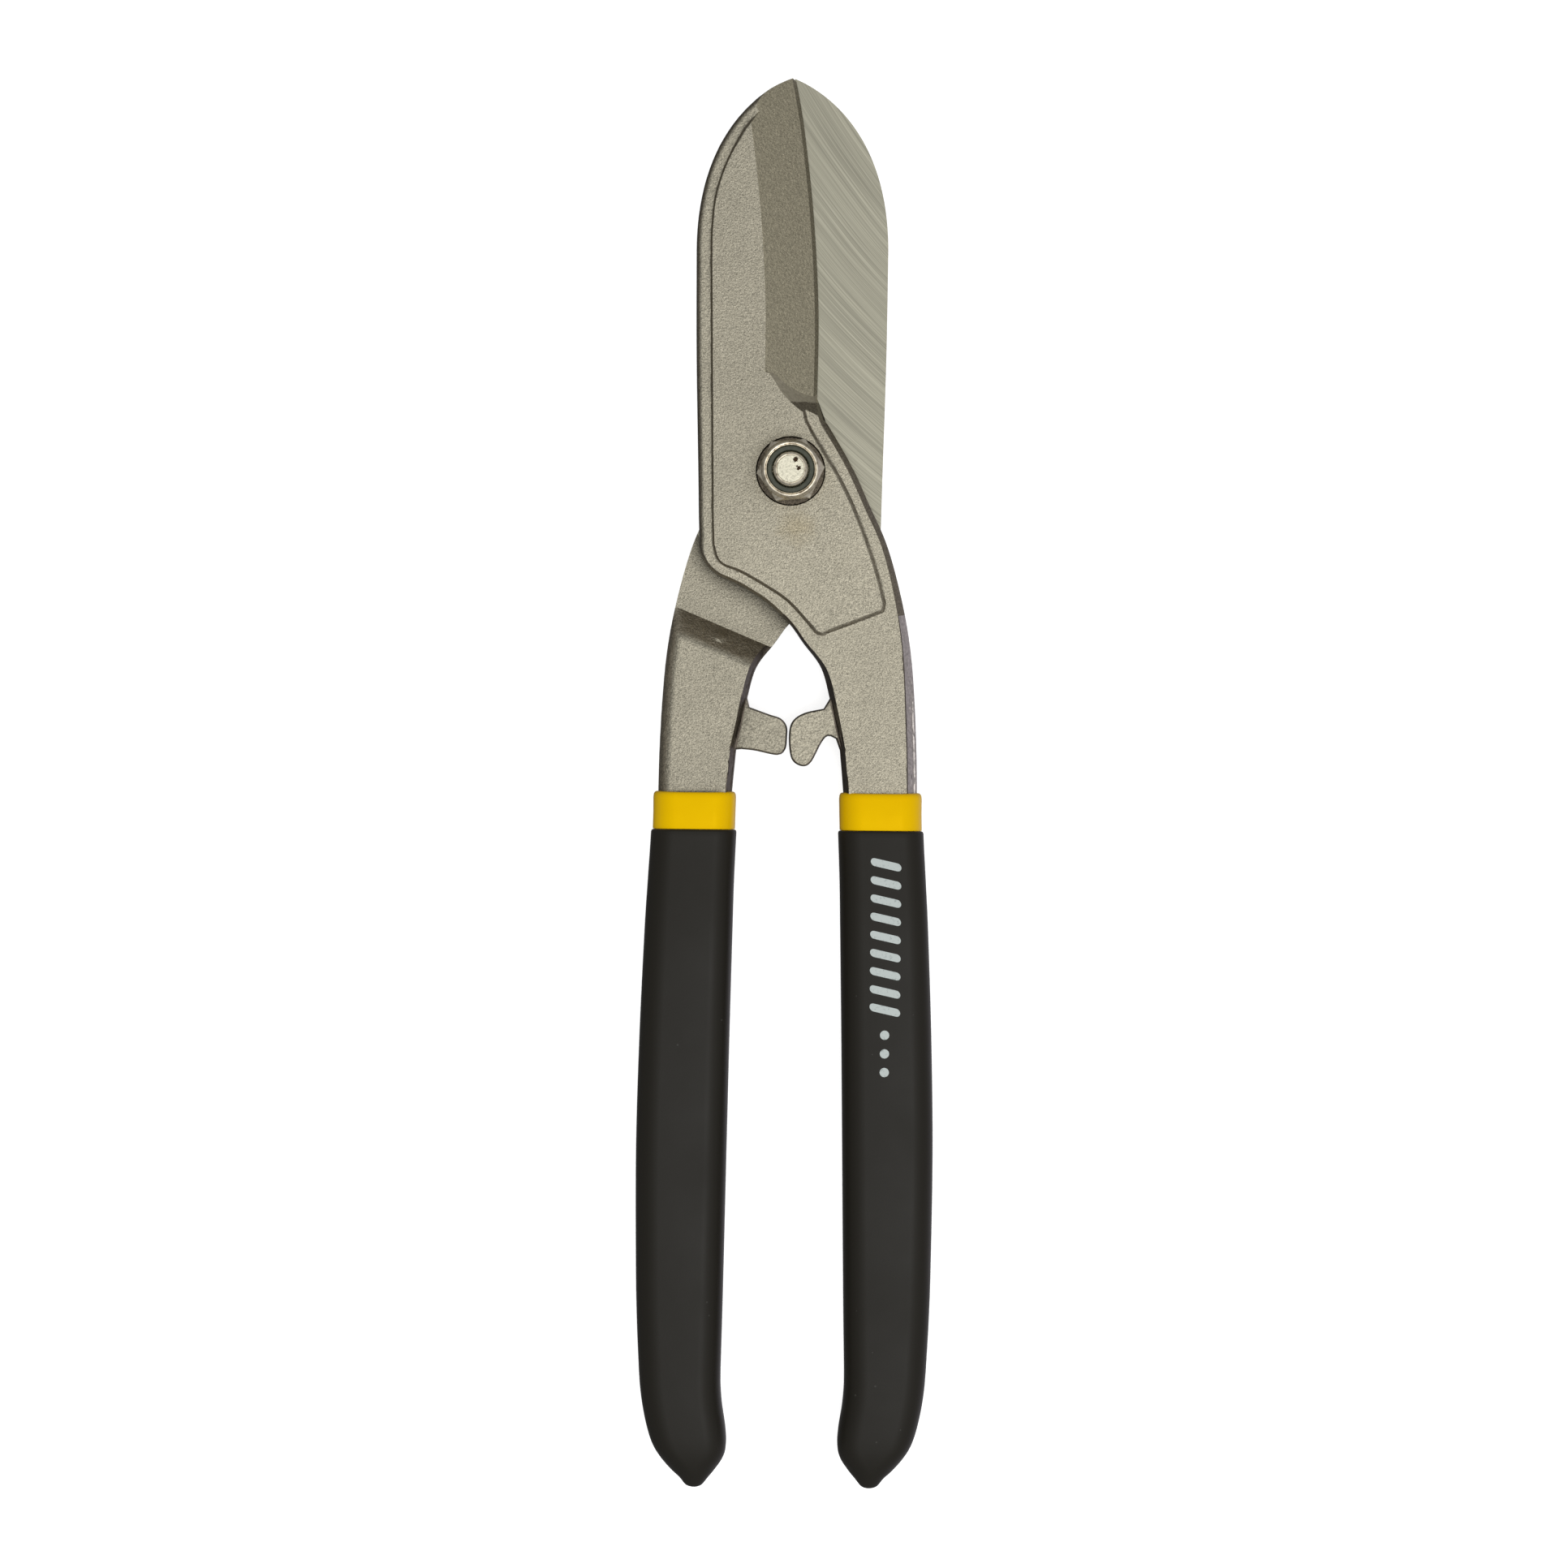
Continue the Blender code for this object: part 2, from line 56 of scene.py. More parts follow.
# Levers
LEDGE = 5.1
PANEL_RISE = 0.8
BLADE_EDGE = (3.3, 1.25)  # height where the side starts to turn over, and how far in that reaches
HANDLE_EDGE = 0.6
OUTER_DRAFT, INNER_DRAFT = 2.3, 1.1  # widths of the front lever's sloping sides, seen from the front
BACK_OUTER, BACK_INNER = 2.7, 1.3  # and the same seen from the back
JOGGLE_START, JOGGLE_END = 36.4, 42.8  # distances from the pivot where the back steps down
JOGGLE_AIM = math.radians(-67.4)  # the way these distances are measured
HANDLE_Y = -45.0
TAB_HALF, TAB_ROUND = 2.3, 0.42
PALM_SWELL = 1.0
END_THINNING = 1.5
FINE_Y = -80.0  # the grips hide the levers below this
GRID, FINE_GRID, HEEL_GRID = 0.62, 0.3, 0.15
BEVEL_BLEND = 0.8  # height over which the bevel's roughness fades
GROUND_END = -14.0  # the cutting faces are ground down to here
CUT_END = 15.0  # the bevel's and the run-out's materials stop here
SIDES_START = -31.0  # the handles' sides have their own materials below this
HANDLE_MIDDLE = 15.0  # between a handle's inner side and its outer side
PIP = (14.9, -35.6, 0.45)  # place on the rear lever's joggle, and height

# Cutting edge
EDGE_LAND = 0.8
EDGE_THICKNESS = 0.25
LAND_SLOPE = 1.12
BEVEL_SLOPE = 0.434
HEEL_SLOPE = 1.08
HEEL_SIDE = (0.4, 4.0)  # height of the heel's side at the outline, and how steeply it climbs

# Pivot
SHANK = 3.8
HOLE = SHANK + GAP + 0.2
NECK_HALF = 4.0
HEAD = 8.5
SEAT = (7.3, 0.4)
NUT_ACROSS_FLATS = 12.7
NUT_TURN = math.radians(5.3)
HEX_HEIGHT, NUT_HEIGHT = 5.9, 8.0
COLLAR, RIM, INSERT_SEAT = 6.0, 5.2, 5.8
BOLT_END = 0.6
NUT_BASE = LEDGE + PANEL_RISE - SEAT[1] + GAP
BOLT_TOP = NUT_BASE + NUT_HEIGHT + BOLT_END
SIDES = 144

# Grips
BAND_TOP, BAND_END = -69.0, -77.3
CAP_START, GRIP_END = -196.7, -219.4
BLACK_WALL, YELLOW_WALL = 0.6, 0.7
PRINT_X, PRINT_TOP, PRINT_PITCH, PRINT_BARS = 21.3, -84.5, 3.9, 9
BAND_PROFILE = [  # how far down from the band's top, and how far in
    (0.0, 1.4), (0.08, 1.05), (0.28, 0.78), (0.65, 0.58), (1.4, 0.48), (4.5, 0.42), (8.0, 0.36), (8.2, 0.42),
]
GRIP_CORNER = 5.0
GRIP_HALF_THICKNESS = 8.0

CUTTING_EDGE = [(0.5, 84.4), (2.3, 74.3), (4.5, 55.4), (5.7, 35.2), (5.6, 16.0)]
HEEL_EDGE = [(7.5, 10.9), (13.1, 1.4), (17.1, -7.2), (20.9, -15.6), (23.9, -26.0), (26.0, -36.5)]
HANDLE_OUTER = [
    (27.1, -47.0), (27.8, -61.0), (28.0, -75.0), (29.3, -105.0), (30.2, -146.0), (28.9, -195.0),
]
HANDLE_TOE = [(27.2, -205.0), (23.6, -211.6), (19.4, -213.6), (15.6, -210.6), (14.0, -205.0)]
HANDLE_INNER = [
    (14.9, -195.0), (14.4, -146.0), (13.6, -105.0), (12.95, -77.5), (12.1, -70.0), (11.75, -66.0),
    (11.2, -60.0),
]
CROTCH = [(8.9, -48.8), (7.0, -42.2), (3.0, -36.8), (0.0, -32.7), (-5.1, -28.0), (-11.0, -24.4)]
HIP = [(-16.2, -21.9), (-19.1, -18.0), (-19.6, -12.6), (-19.9, 0.0), (-20.5, 25.0), (-20.7, 47.7)]
NOSE = [(-20.7, 47.7), (-20.7, 71.8), (-8.3, 81.8), (-0.3, 85.1)]
HOOK_TAB = [
    (10.3, -57.5), (8.6, -56.9), (7.2, -58.4), (5.0, -62.6), (3.1, -63.5), (1.0, -62.3),
    (0.25, -59.5), (0.25, -55.6), (1.2, -53.4), (3.6, -51.9), (7.6, -51.0),
]
BLOCK_TAB = [
    (10.1, -59.9), (7.1, -60.2), (2.3, -61.1), (0.6, -59.9), (0.25, -57.4), (0.3, -54.9),
    (1.6, -53.2), (4.2, -52.3), (8.4, -50.8),
]
PANEL_LEFT = [(-6.6, 78.2), (-10.8, 73.8), (-15.5, 64.1), (-17.6, 53.1), (-17.5, 30.0), (-16.9, -12.0)]
PANEL_FOOT = [
    (-16.7, -16.0), (-15.8, -19.0), (-14.2, -20.6), (-11.0, -21.9), (-5.9, -24.7), (-0.5, -28.3),
    (4.2, -33.4), (5.4, -34.9), (6.7, -35.5), (8.2, -35.1), (18.9, -31.0), (20.6, -30.0), (21.0, -28.2),
]
PANEL_RIGHT = [(21.0, -28.2), (18.3, -18.4), (14.2, -7.7), (10.2, 0.2), (5.1, 8.4), (3.3, 12.3)]
PANEL_UNDER_BEVEL = [(2.0, 22.0), (-1.5, 50.0), (-4.6, 75.0)]
HEEL_TOP = [
    (-6.5, 21.4), (-4.9, 21.0), (-3.8, 19.6), (-2.3, 17.2), (-0.3, 15.0), (1.9, 13.1), (3.0, 12.5),
    (6.6, 10.7), (7.6, 10.0),
]
# Grips: distance along the handle, inner side, outer side and half thickness
GRIP_SIDES = [
    (-69.0, 10.6, 29.5, 7.0), (-77.0, 10.95, 29.4, 7.0), (-88.0, 11.4, 30.0, 7.5),
    (-99.0, 11.65, 30.6, 8.0), (-122.0, 12.1, 31.5, 8.0), (-146.0, 12.5, 32.0, 8.0),
    (-171.0, 12.9, 31.8, 8.0), (-182.6, 13.1, 31.5, 8.0), (-191.9, 13.3, 31.05, 7.9),
    (-196.7, 13.35, 30.75, 7.8), (-201.4, 13.0, 30.15, 7.6), (-206.2, 12.25, 29.15, 7.3),
    (-209.9, 12.0, 27.95, 6.9), (-212.7, 12.6, 26.3, 6.2), (-215.4, 14.3, 24.1, 5.0),
    (-217.2, 15.8, 22.1, 3.6), (-218.4, 16.7, 21.2, 2.4), (-219.1, 17.4, 20.5, 1.5),
    (-219.4, 18.3, 19.5, 0.6),
]

# Stage, in metres
CAMERA_HEIGHT = 1.17
FRAME_WIDTH = 0.339
CAMERA_AIM = (-0.0008, -0.0001)
CAMERA_ROLL = math.radians(0.53)
LIGHT_AXIS = Vector((0.19, -0.19, 1.0)).normalized()
ROOM_LIGHT = 0.34
CARD_AXIS = (1.0, -0.1, -1.1)
CARD_COLOUR = (0.95, 0.90, 1.0)
CARD_LIGHT = 0.55
CARD_SPREAD = 26.0
SOFT_LIGHT = 1.03
LIGHT_SPREAD = 30.0  # degrees
SOFTBOX_DISTANCE = 1.5
SOFTBOX = 0.5
SOFTBOX_POWER = 2.0


def smooth(t):
    t = np.clip(t, 0.0, 1.0)
    return t * t * (3.0 - 2.0 * t)


def spline(points, step):
    """Points about a step apart on a Catmull-Rom curve through the given points."""
    p = np.array([points[0], *points, points[-1]], float)
    out = []
    for a, b, c, d in zip(p, p[1:], p[2:], p[3:]):
        count = max(1, round(np.linalg.norm(c - b) / step))
        t = (np.arange(count) / count)[:, None]
        out.append(b + 0.5 * t * (c - a + t * (2 * a - 5 * b + 4 * c - d + t * (3 * (b - c) + d - a))))
    return np.vstack([*out, p[-1:]])


def bezier(p, count):
    p = np.array(p, float)
    t = np.linspace(0.0, 1.0, count + 1)[:, None]
    return (1 - t) ** 3 * p[0] + 3 * (1 - t) ** 2 * t * p[1] + 3 * (1 - t) * t**2 * p[2] + t**3 * p[3]


def lever_loops(tab):
    """The lever's outline with its tab, and its outline without."""
    edge = spline(CUTTING_EDGE, 1.5)
    shown = spline(HEEL_EDGE + HANDLE_OUTER[:3], 1.2)[:-1]
    hidden = spline(HANDLE_OUTER[2:] + HANDLE_TOE + HANDLE_INNER[:4], 5.0)[:-1]
    inner = spline(HANDLE_INNER[3:], 1.2)
    hip = spline(CROTCH + HIP, 1.2)
    nose = bezier(NOSE, 48)[1:]
    before, after = [edge, shown, hidden, inner], [hip, nose]
    return np.vstack([*before, spline(tab, 0.6), *after]), np.vstack([*before, *after])


def inside(points, loop):
    x, y = points[:, :1], points[:, 1:]
    (ax, ay), (bx, by) = loop.T, np.roll(loop, -1, axis=0).T
    spans = (ay > y) != (by > y)
    rise = np.where(by == ay, 1.0, by - ay)
    return (spans & (x < ax + (y - ay) / rise * (bx - ax))).sum(axis=1) % 2 == 1


def distance(points, line):
    """Distance from a closed line."""
    starts, ends = line, np.roll(line, -1, axis=0)
    along = ends - starts
    best = np.full(len(points), np.inf)
    for start, step in zip(starts, along):
        away = points - start
        share = np.clip(away @ step / max(step @ step, 1e-12), 0.0, 1.0)
        best = np.minimum(best, np.linalg.norm(away - share[:, None] * step, axis=1))
    return best


def depth(points, loop):
    """Distance from the loop, negative outside it."""
    return np.where(inside(points, loop), 1.0, -1.0) * distance(points, loop)


def wander(points, size, seed):
    """Smooth noise between about -1 and 1 that repeats nowhere."""
    return np.array([noise.noise(Vector((x / size, y / size, seed))) for x, y in points])


def handle_share(y):
    return smooth((-12.0 - y) / 45.0)


def front_edge_width(points):
    x, y = points.T
    handle = INNER_DRAFT + (OUTER_DRAFT - INNER_DRAFT) * smooth((x - 16.0) / 8.0)
    at_foot = smooth((-14.0 - y) / 6.0) * smooth((y + 46.0) / 8.0) * smooth((11.0 - x) / 3.0)
    return (BLADE_EDGE[1] + (handle - BLADE_EDGE[1]) * handle_share(y)) * (1.0 - 0.5 * at_foot)


def back_edge_width(points):
    x, y = points.T
    handle = BACK_INNER + (BACK_OUTER - BACK_INNER) * smooth((x - 16.0) / 8.0)
    return BLADE_EDGE[1] + (handle - BLADE_EDGE[1]) * smooth((-12.0 - y) / 20.0)


def half_thickness(y):
    return LEDGE + PALM_SWELL * smooth((-80.0 - y) / 22.0) - END_THINNING * smooth((-178.0 - y) / 28.0)


def ramp_up(t):
    """A straight climb from 0 to 1 with its corners eased."""
    return 0.5 * (np.clip(t, 0.0, 1.0) + smooth(t))


def rounded(share, low, high):
    return low + (high - low) * np.sqrt(1.0 - (1.0 - np.clip(share, 0.0, 1.0)) ** 2)


def drafted(share, low, high):
    """A drafted side up to a small round at the face."""
    share = np.clip(share, 0.0, 1.0)
    eased = share + 0.5 * share * (1.0 - share) ** 2 - 0.10 * np.maximum(share - 0.8, 0.0)
    return low + (high - low) * eased


def forged_face(points, core, low, width, draft):
    """Height of a face whose sides turn over at the outline: rounded, or drafted by a share."""
    y = points[:, 1]
    ragged = 0.05 + 0.13 * handle_share(y)
    share = np.maximum((depth(points, core) + ragged * wander(points, 0.9, 3.0)) / width, 0.0)
    high = half_thickness(y)
    return rounded(share, low, high) * (1.0 - draft) + drafted(share, low, high) * draft


def tab_face(points, outline):
    return rounded(depth(points, outline) / TAB_ROUND, HANDLE_EDGE, TAB_HALF)


def panel_loop():
    right = PANEL_RIGHT + PANEL_UNDER_BEVEL
    return np.vstack([spline(PANEL_LEFT, 1.5)[:-1], spline(PANEL_FOOT, 0.7)[:-1], spline(right, 1.5)])


def panel_step(points):
    """Width of the wall round the panel, which is broader on the cutting side."""
    return 0.5 + 0.22 * smooth((points[:, 0] + 16.0) / 6.0) + 0.28 * smooth((points[:, 0] - 1.0) / 7.0)


def bevel_face(points):
    """Height left by the bevel and the narrow land at its edge."""
    edge = spline(CUTTING_EDGE, 2.0)[::-1]
    across = np.interp(points[:, 1], edge[:, 1], edge[:, 0]) - points[:, 0]
    land = GAP / 2 + EDGE_THICKNESS + LAND_SLOPE * across
    bevel = GAP / 2 + EDGE_THICKNESS + LAND_SLOPE * EDGE_LAND + BEVEL_SLOPE * (across - EDGE_LAND)
    return np.minimum(land, bevel)


def heel_face(points):
    """Height left by the cutter's run-out at the heel."""
    beyond = [(40.0, 10.0), (40.0, 110.0), (-40.0, 110.0), (-40.0, 21.4)]
    zone = np.vstack([spline(HEEL_TOP, 1.0), beyond])
    return LEDGE + PANEL_RISE - HEEL_SLOPE * depth(points, zone)


def heel_foot():
    """The crease where the run-out meets the bevel and the land, found by halving."""
    x = np.arange(-5.2, 5.7, 0.3)
    low, high = np.interp(x, *np.transpose(HEEL_TOP)), np.full(len(x), 26.0)
    for _ in range(22):
        y = (low + high) / 2
        points = np.column_stack([x, y])
        on_heel = heel_face(points) > bevel_face(points)
        low, high = np.where(on_heel, y, low), np.where(on_heel, high, y)
    return np.column_stack([x, (low + high) / 2])


def front_face(outline, core, seat):
    """The outer face's height, and where it is cut, as functions of points."""
    panel = panel_loop()

    def forged(points):
        low = BLADE_EDGE[0] + (HANDLE_EDGE - BLADE_EDGE[0]) * handle_share(points[:, 1])
        draft = np.maximum(smooth((-34.0 - points[:, 1]) / 12.0), smooth((points[:, 0] - 2.0) / 4.0))
        face = forged_face(points, core, low, front_edge_width(points), draft)
        into_panel = depth(points, panel) + 0.06 * wander(points, 2.2, 7.0)
        face += PANEL_RISE * ramp_up(into_panel / panel_step(points))
        if seat:
            face -= seat[1] * smooth((seat[0] + 0.2 - np.hypot(*points.T)) / 0.3)
        return face + 0.02 * wander(points, 3.5, 1.0)

    def cut_face(points):
        side = HEEL_SIDE[0] + HEEL_SIDE[1] * np.maximum(depth(points, core), 0.0)
        side += 6.0 * smooth((11.5 - points[:, 1]) / 2.5)
        return np.maximum(bevel_face(points), np.minimum(heel_face(points), side))

    def height(points):
        skin, cut = forged(points), cut_face(points)
        near_skin = smooth(1.4 - np.abs(skin - cut) / BEVEL_BLEND) * smooth((points[:, 1] - 20.0) / 3.0)
        near_tip = smooth((points[:, 1] - 75.0) / 4.0)
        skin += 0.16 * near_tip * near_skin * wander(points, 0.7, 13.0)
        cut += 0.03 * near_skin * wander(points, 0.45, 11.0) + 0.01 * wander(points, 5.0, 5.0)
        face = np.minimum(skin, cut)
        return np.where(points[:, 1] < HANDLE_Y, np.maximum(face, tab_face(points, outline)), face)

    def skin_at(points):
        """0 on the forged skin, 1 bevel, 3 run-out, 4 under the nut, 5 inner side and 6 outer side."""
        cut = np.where(heel_face(points) > bevel_face(points), 3, 1)
        skin = np.where(cut_face(points) < forged(points) + 0.02, cut, 0)
        skin = np.where(points[:, 1] < CUT_END, 0, skin)
        width = front_edge_width(points)
        skin = np.where(on_outer_side(points, core, width), 5, skin)
        skin = np.where(on_outer_side(points, core, 0.88 * width), 6, skin)
        skin = np.where(on_inner_side(points, core, width), 5, skin)
        return np.where(np.hypot(*points.T) < SEAT[0] + 0.05, 4, skin) if seat else skin

    return height, skin_at


def on_inner_side(points, core, width):
    """Whether points lie on the sloping side that faces the other handle."""
    return (points[:, 0] < HANDLE_MIDDLE) & on_side(points, core, width)


def on_outer_side(points, core, width):
    """The same for the side that faces away."""
    return (points[:, 0] > HANDLE_MIDDLE) & on_side(points, core, width)


def on_side(points, core, width):
    from_edge = depth(points, core)
    return (points[:, 1] < SIDES_START) & (from_edge > -0.05) & (from_edge < width)


def joggle_reach(points):
    """Distance from the pivot towards the joggle."""
    return points @ [math.cos(JOGGLE_AIM), math.sin(JOGGLE_AIM)]


def joggle_line(reach):
    """A straight crease across the handle at a distance from the pivot."""
    ahead = np.array([math.cos(JOGGLE_AIM), math.sin(JOGGLE_AIM)])
    across = np.array([-ahead[1], ahead[0]])
    return reach * ahead + np.arange(-24.0, 30.0, 0.7)[:, None] * across


def back_face(outline, core, pip):
    """The inner face's height: flat on the blade, and stepped down at the joggle."""
    def height(points):
        draft = smooth((22.0 - points[:, 0]) / 4.0)
        skin = forged_face(points, core, HANDLE_EDGE, back_edge_width(points), draft)
        full = np.maximum(skin, tab_face(points, outline))
        t = np.clip((joggle_reach(points) - JOGGLE_START) / (JOGGLE_END - JOGGLE_START), 0.0, 1.0)
        t = np.clip(t + 0.10 * t * (1.0 - t) * wander(points, 1.4, 9.0), 0.0, 1.0)
        share = np.where(t < 0.65, 1.2121 * t, 1.0 - 1.7316 * (1.0 - t) ** 2)
        face = GAP / 2 - (full + GAP / 2) * share
        if pip:
            away = np.hypot(points[:, 0] - pip[0], points[:, 1] - pip[1])
            face -= pip[2] * smooth((1.5 - away) / 0.7)
        return face - 0.02 * wander(points, 4.0, 2.0) * share

    def skin_at(points):
        """2 on the ground cutting face, 5 on the inner side and 0 elsewhere."""
        is_inner = on_inner_side(points, core, back_edge_width(points))
        is_inner &= joggle_reach(points) > JOGGLE_START
        return np.where(points[:, 1] > GROUND_END, 2, np.where(is_inner, 5, 0))

    return height, skin_at


def inset(loop, amounts):
    """The loop moved inwards, as (points, which of them are good, whether it is closed)."""
    after, before = np.roll(loop, -1, axis=0), np.roll(loop, 1, axis=0)
    along = after - before
    turned_area = (loop[:, 0] * after[:, 1] - loop[:, 1] * after[:, 0]).sum()
    inward = np.column_stack([-along[:, 1], along[:, 0]]) * np.sign(turned_area)
    amounts = np.broadcast_to(amounts, len(loop))
    row = loop + inward * (amounts / np.linalg.norm(along, axis=1))[:, None]
    return row, distance(row, loop) > 0.93 * np.abs(amounts), True


def whole(points, is_loop=False):
    return points, np.ones(len(points), bool), is_loop


def arc(radius, count):
    turn = np.arange(count) * (2 * math.pi / count)
    return np.column_stack([np.cos(turn), np.sin(turn)]) * radius


def rounding_rows(loop, width, shares):
    return [inset(loop, share * width) for share in shares]


EDGE_SHARES = (0.03, 0.09, 0.18, 0.32, 0.5, 0.72, 0.88, 1.0, 1.12, 1.3)


def front_lines(outline, core, seat):
    """Rows of points along the outer face's creases."""
    panel, edge = panel_loop(), spline(CUTTING_EDGE, 1.2)
    lines = []
    for row, kept, is_loop in rounding_rows(core, front_edge_width(core), EDGE_SHARES):
        at_corner = (row[:, 0] > 4.0) & (row[:, 1] > 8.0) & (row[:, 1] < 18.0)
        lines.append((row, kept & ~at_corner, is_loop))
    lines += tab_rows(outline)
    lines += [inset(panel, amount * panel_step(panel)) for amount in (-0.3, 0.0, 0.15, 0.5, 0.85, 1.0, 1.4)]
    reach = EDGE_LAND + (LEDGE + PANEL_RISE - GAP / 2 - EDGE_THICKNESS - LAND_SLOPE * EDGE_LAND) / BEVEL_SLOPE
    across = [0.25, EDGE_LAND - 0.15, EDGE_LAND, EDGE_LAND + 0.2]
    across += [reach + more for more in (-0.4, -0.2, 0.0, 0.2)]
    lines += [whole(edge - [a, 0.0]) for a in across]
    lines += [whole(spline(HEEL_TOP, 0.5)), whole(heel_foot())]
    if seat:
        lines += [whole(arc(seat[0] + extra, 72), True) for extra in (-0.25, -0.1, 0.0, 0.1, 0.2, 0.4)]
    return lines


def tab_rows(outline):
    """Rows along the stop tab's rounded edge."""
    near_tab = (outline[:, 1] < -48.0) & (outline[:, 1] > -66.0) & (outline[:, 0] < 12.5)
    rows = []
    for row, kept, is_loop in rounding_rows(outline, TAB_ROUND, (0.06, 0.2, 0.45, 0.75, 1.0)):
        rows.append((row, kept & near_tab, is_loop))
    return rows


def back_lines(outline, core):
    """Rows of points along the inner face's creases."""
    lines = []
    for row, kept, is_loop in rounding_rows(core, back_edge_width(core), EDGE_SHARES):
        lines.append((row, kept & (joggle_reach(row) > JOGGLE_START), is_loop))
    lines += tab_rows(outline)
    reaches = JOGGLE_START + (JOGGLE_END - JOGGLE_START) * np.linspace(0.0, 1.0, 14)
    return lines + [whole(joggle_line(reach)) for reach in (JOGGLE_START - 0.3, *reaches, JOGGLE_END + 0.3)]


def clear_runs(outline, lines):
    """The stretches of the lines that stay clear of the outline, so that its edge isn't cut by them."""
    runs = []
    for points, kept, is_loop in lines:
        clear = kept & inside(points, outline) & (distance(points, outline) > 0.025)
        run = []
        for point, is_clear in zip(points, clear):
            if is_clear:
                run.append(point)
                continue
            runs.append(run)
            run = []
        if is_loop and clear.all():
            run.append(points[0])
        runs.append(run)
    return [run for run in runs if run]


def open_ground(outline, taken):
    """Points inside the outline on a grid, which is finer in the rough strip beside the bevel's far edge."""
    low, high = outline.min(axis=0), outline.max(axis=0)
    tree = kdtree.KDTree(len(taken))
    for i, (x, y) in enumerate(taken):
        tree.insert((x, y, 0.0), i)
    tree.balance()
    found = []
    zones = [
        (GRID, (low[0], FINE_Y), high),
        (FINE_GRID, (-7.5, 19.0), (0.5, 84.0)),
        (HEEL_GRID, (-7.0, 8.0), (9.0, 24.0)),
    ]
    for step, corner, far in zones:
        x, y = np.meshgrid(np.arange(corner[0], far[0], step), np.arange(corner[1], far[1], step))
        x[1::2] += step / 2
        grid = np.column_stack([x.ravel(), y.ravel()])
        at_heel = in_heel(grid)
        in_strip = in_rough_strip(grid) & ~at_heel
        grid = grid[{GRID: ~in_strip & ~at_heel, FINE_GRID: in_strip, HEEL_GRID: at_heel}[step]]
        grid = grid[depth(grid, outline) > 0.5 * step]
        found += [p for p in grid if tree.find((p[0], p[1], 0.0))[2] > 0.6 * step]
    return found


def in_rough_strip(points):
    """The strip 2.6 mm wide where the bevel runs out into the forged skin."""
    x, y = points.T
    from_line = x + 3.3 + 0.04 * y
    return (from_line > -0.5) & (from_line < 2.6) & (y > 20.0)


def in_heel(points):
    """Beside the run-out's top, and the corner where it meets the lever's side."""
    x, y = points.T
    near = (x > -7.0) & (x < 9.0) & (y > 8.0) & (y < 24.0)
    found = near & (x > 3.8) & (y < 18.0)
    close = distance(points[near], np.vstack([spline(HEEL_TOP, 1.0), spline(HEEL_TOP, 1.0)[::-1]])) < 0.8
    found[near] |= close
    return found


def triangulated(outline, hole, lines, height):
    """Points and triangles of one face, and the places of the outline's and the hole's points."""
    points = [*outline, *hole]
    first_hole = len(outline)
    edges = [(i, (i + 1) % first_hole) for i in range(first_hole)]
    edges += [(first_hole + i, first_hole + (i + 1) % len(hole)) for i in range(len(hole))]
    for line in clear_runs(outline, lines):
        start = len(points)
        points += line
        edges += [(start + i, start + i + 1) for i in range(len(line) - 1)]
    points += open_ground(outline, points)
    result = geometry.delaunay_2d_cdt([Vector(p) for p in points], edges, [], 0, 0.008)
    flat = np.array([tuple(p) for p in result[0]])
    place = {source: i for i, sources in enumerate(result[3]) for source in sources}
    rims = [place[i] for i in range(first_hole)], [place[first_hole + i] for i in range(len(hole))]
    flat[rims[0]] = outline
    flat[rims[1]] = hole
    faces = np.array(result[2])
    centres = flat[faces].mean(axis=1)
    faces = faces[inside(centres, outline) & ~inside(centres, hole)]
    return np.column_stack([flat, height(flat)]), faces, rims


def lever_mesh(tab, hole, seat, pip):
    """A closed mesh, with the materials of make_levers by number."""
    outline, core = lever_loops(tab)
    height, front_skin = front_face(outline, core, seat)
    inner_height, back_skin = back_face(outline, core, pip)
    front = triangulated(outline, hole, front_lines(outline, core, seat), height)
    back = triangulated(outline, hole, back_lines(outline, core), inner_height)
    mesh = bmesh.new()
    sides = []
    for (points, faces, rims), skin_at in ((front, front_skin), (back, back_skin)):
        made = [mesh.verts.new(p) for p in points]
        skins = skin_at(points[faces].mean(axis=1)[:, :2])
        for face, skin in zip(faces, skins):
            mesh.faces.new([made[i] for i in face]).material_index = int(skin)
        sides.append([[made[i] for i in rim] for rim in rims])
    walls = []
    for above, below in zip(*sides):
        walls += bridge(mesh, above, below)
    middles = np.array([wall.calc_center_median().xy for wall in walls])
    # Walls that face the other handle take the dark inner-side colour, which is painted shade.
    for wall, is_inner in zip(walls, on_inner_side(middles, core, 0.3)):
        wall.material_index = 5 if is_inner else 0
    loose = [v for v in mesh.verts if not v.link_faces]
    bmesh.ops.delete(mesh, geom=loose, context="VERTS")
    return mesh


def bridge(mesh, first, second):
    """The faces between two loops of as many points."""
    faces = []
    for i in range(len(first)):
        j = (i + 1) % len(first)
        faces.append(mesh.faces.new([first[i], first[j], second[j], second[i]]))
    return faces


def circle(radius):
    return lambda turn: np.full_like(turn, radius)


def polygon(apothem, sides, start=0.0):
    part = 2 * math.pi / sides
    return lambda turn: apothem / np.cos((turn - start) % part - part / 2)


def smaller(first, second):
    return lambda turn: np.minimum(first(turn), second(turn))


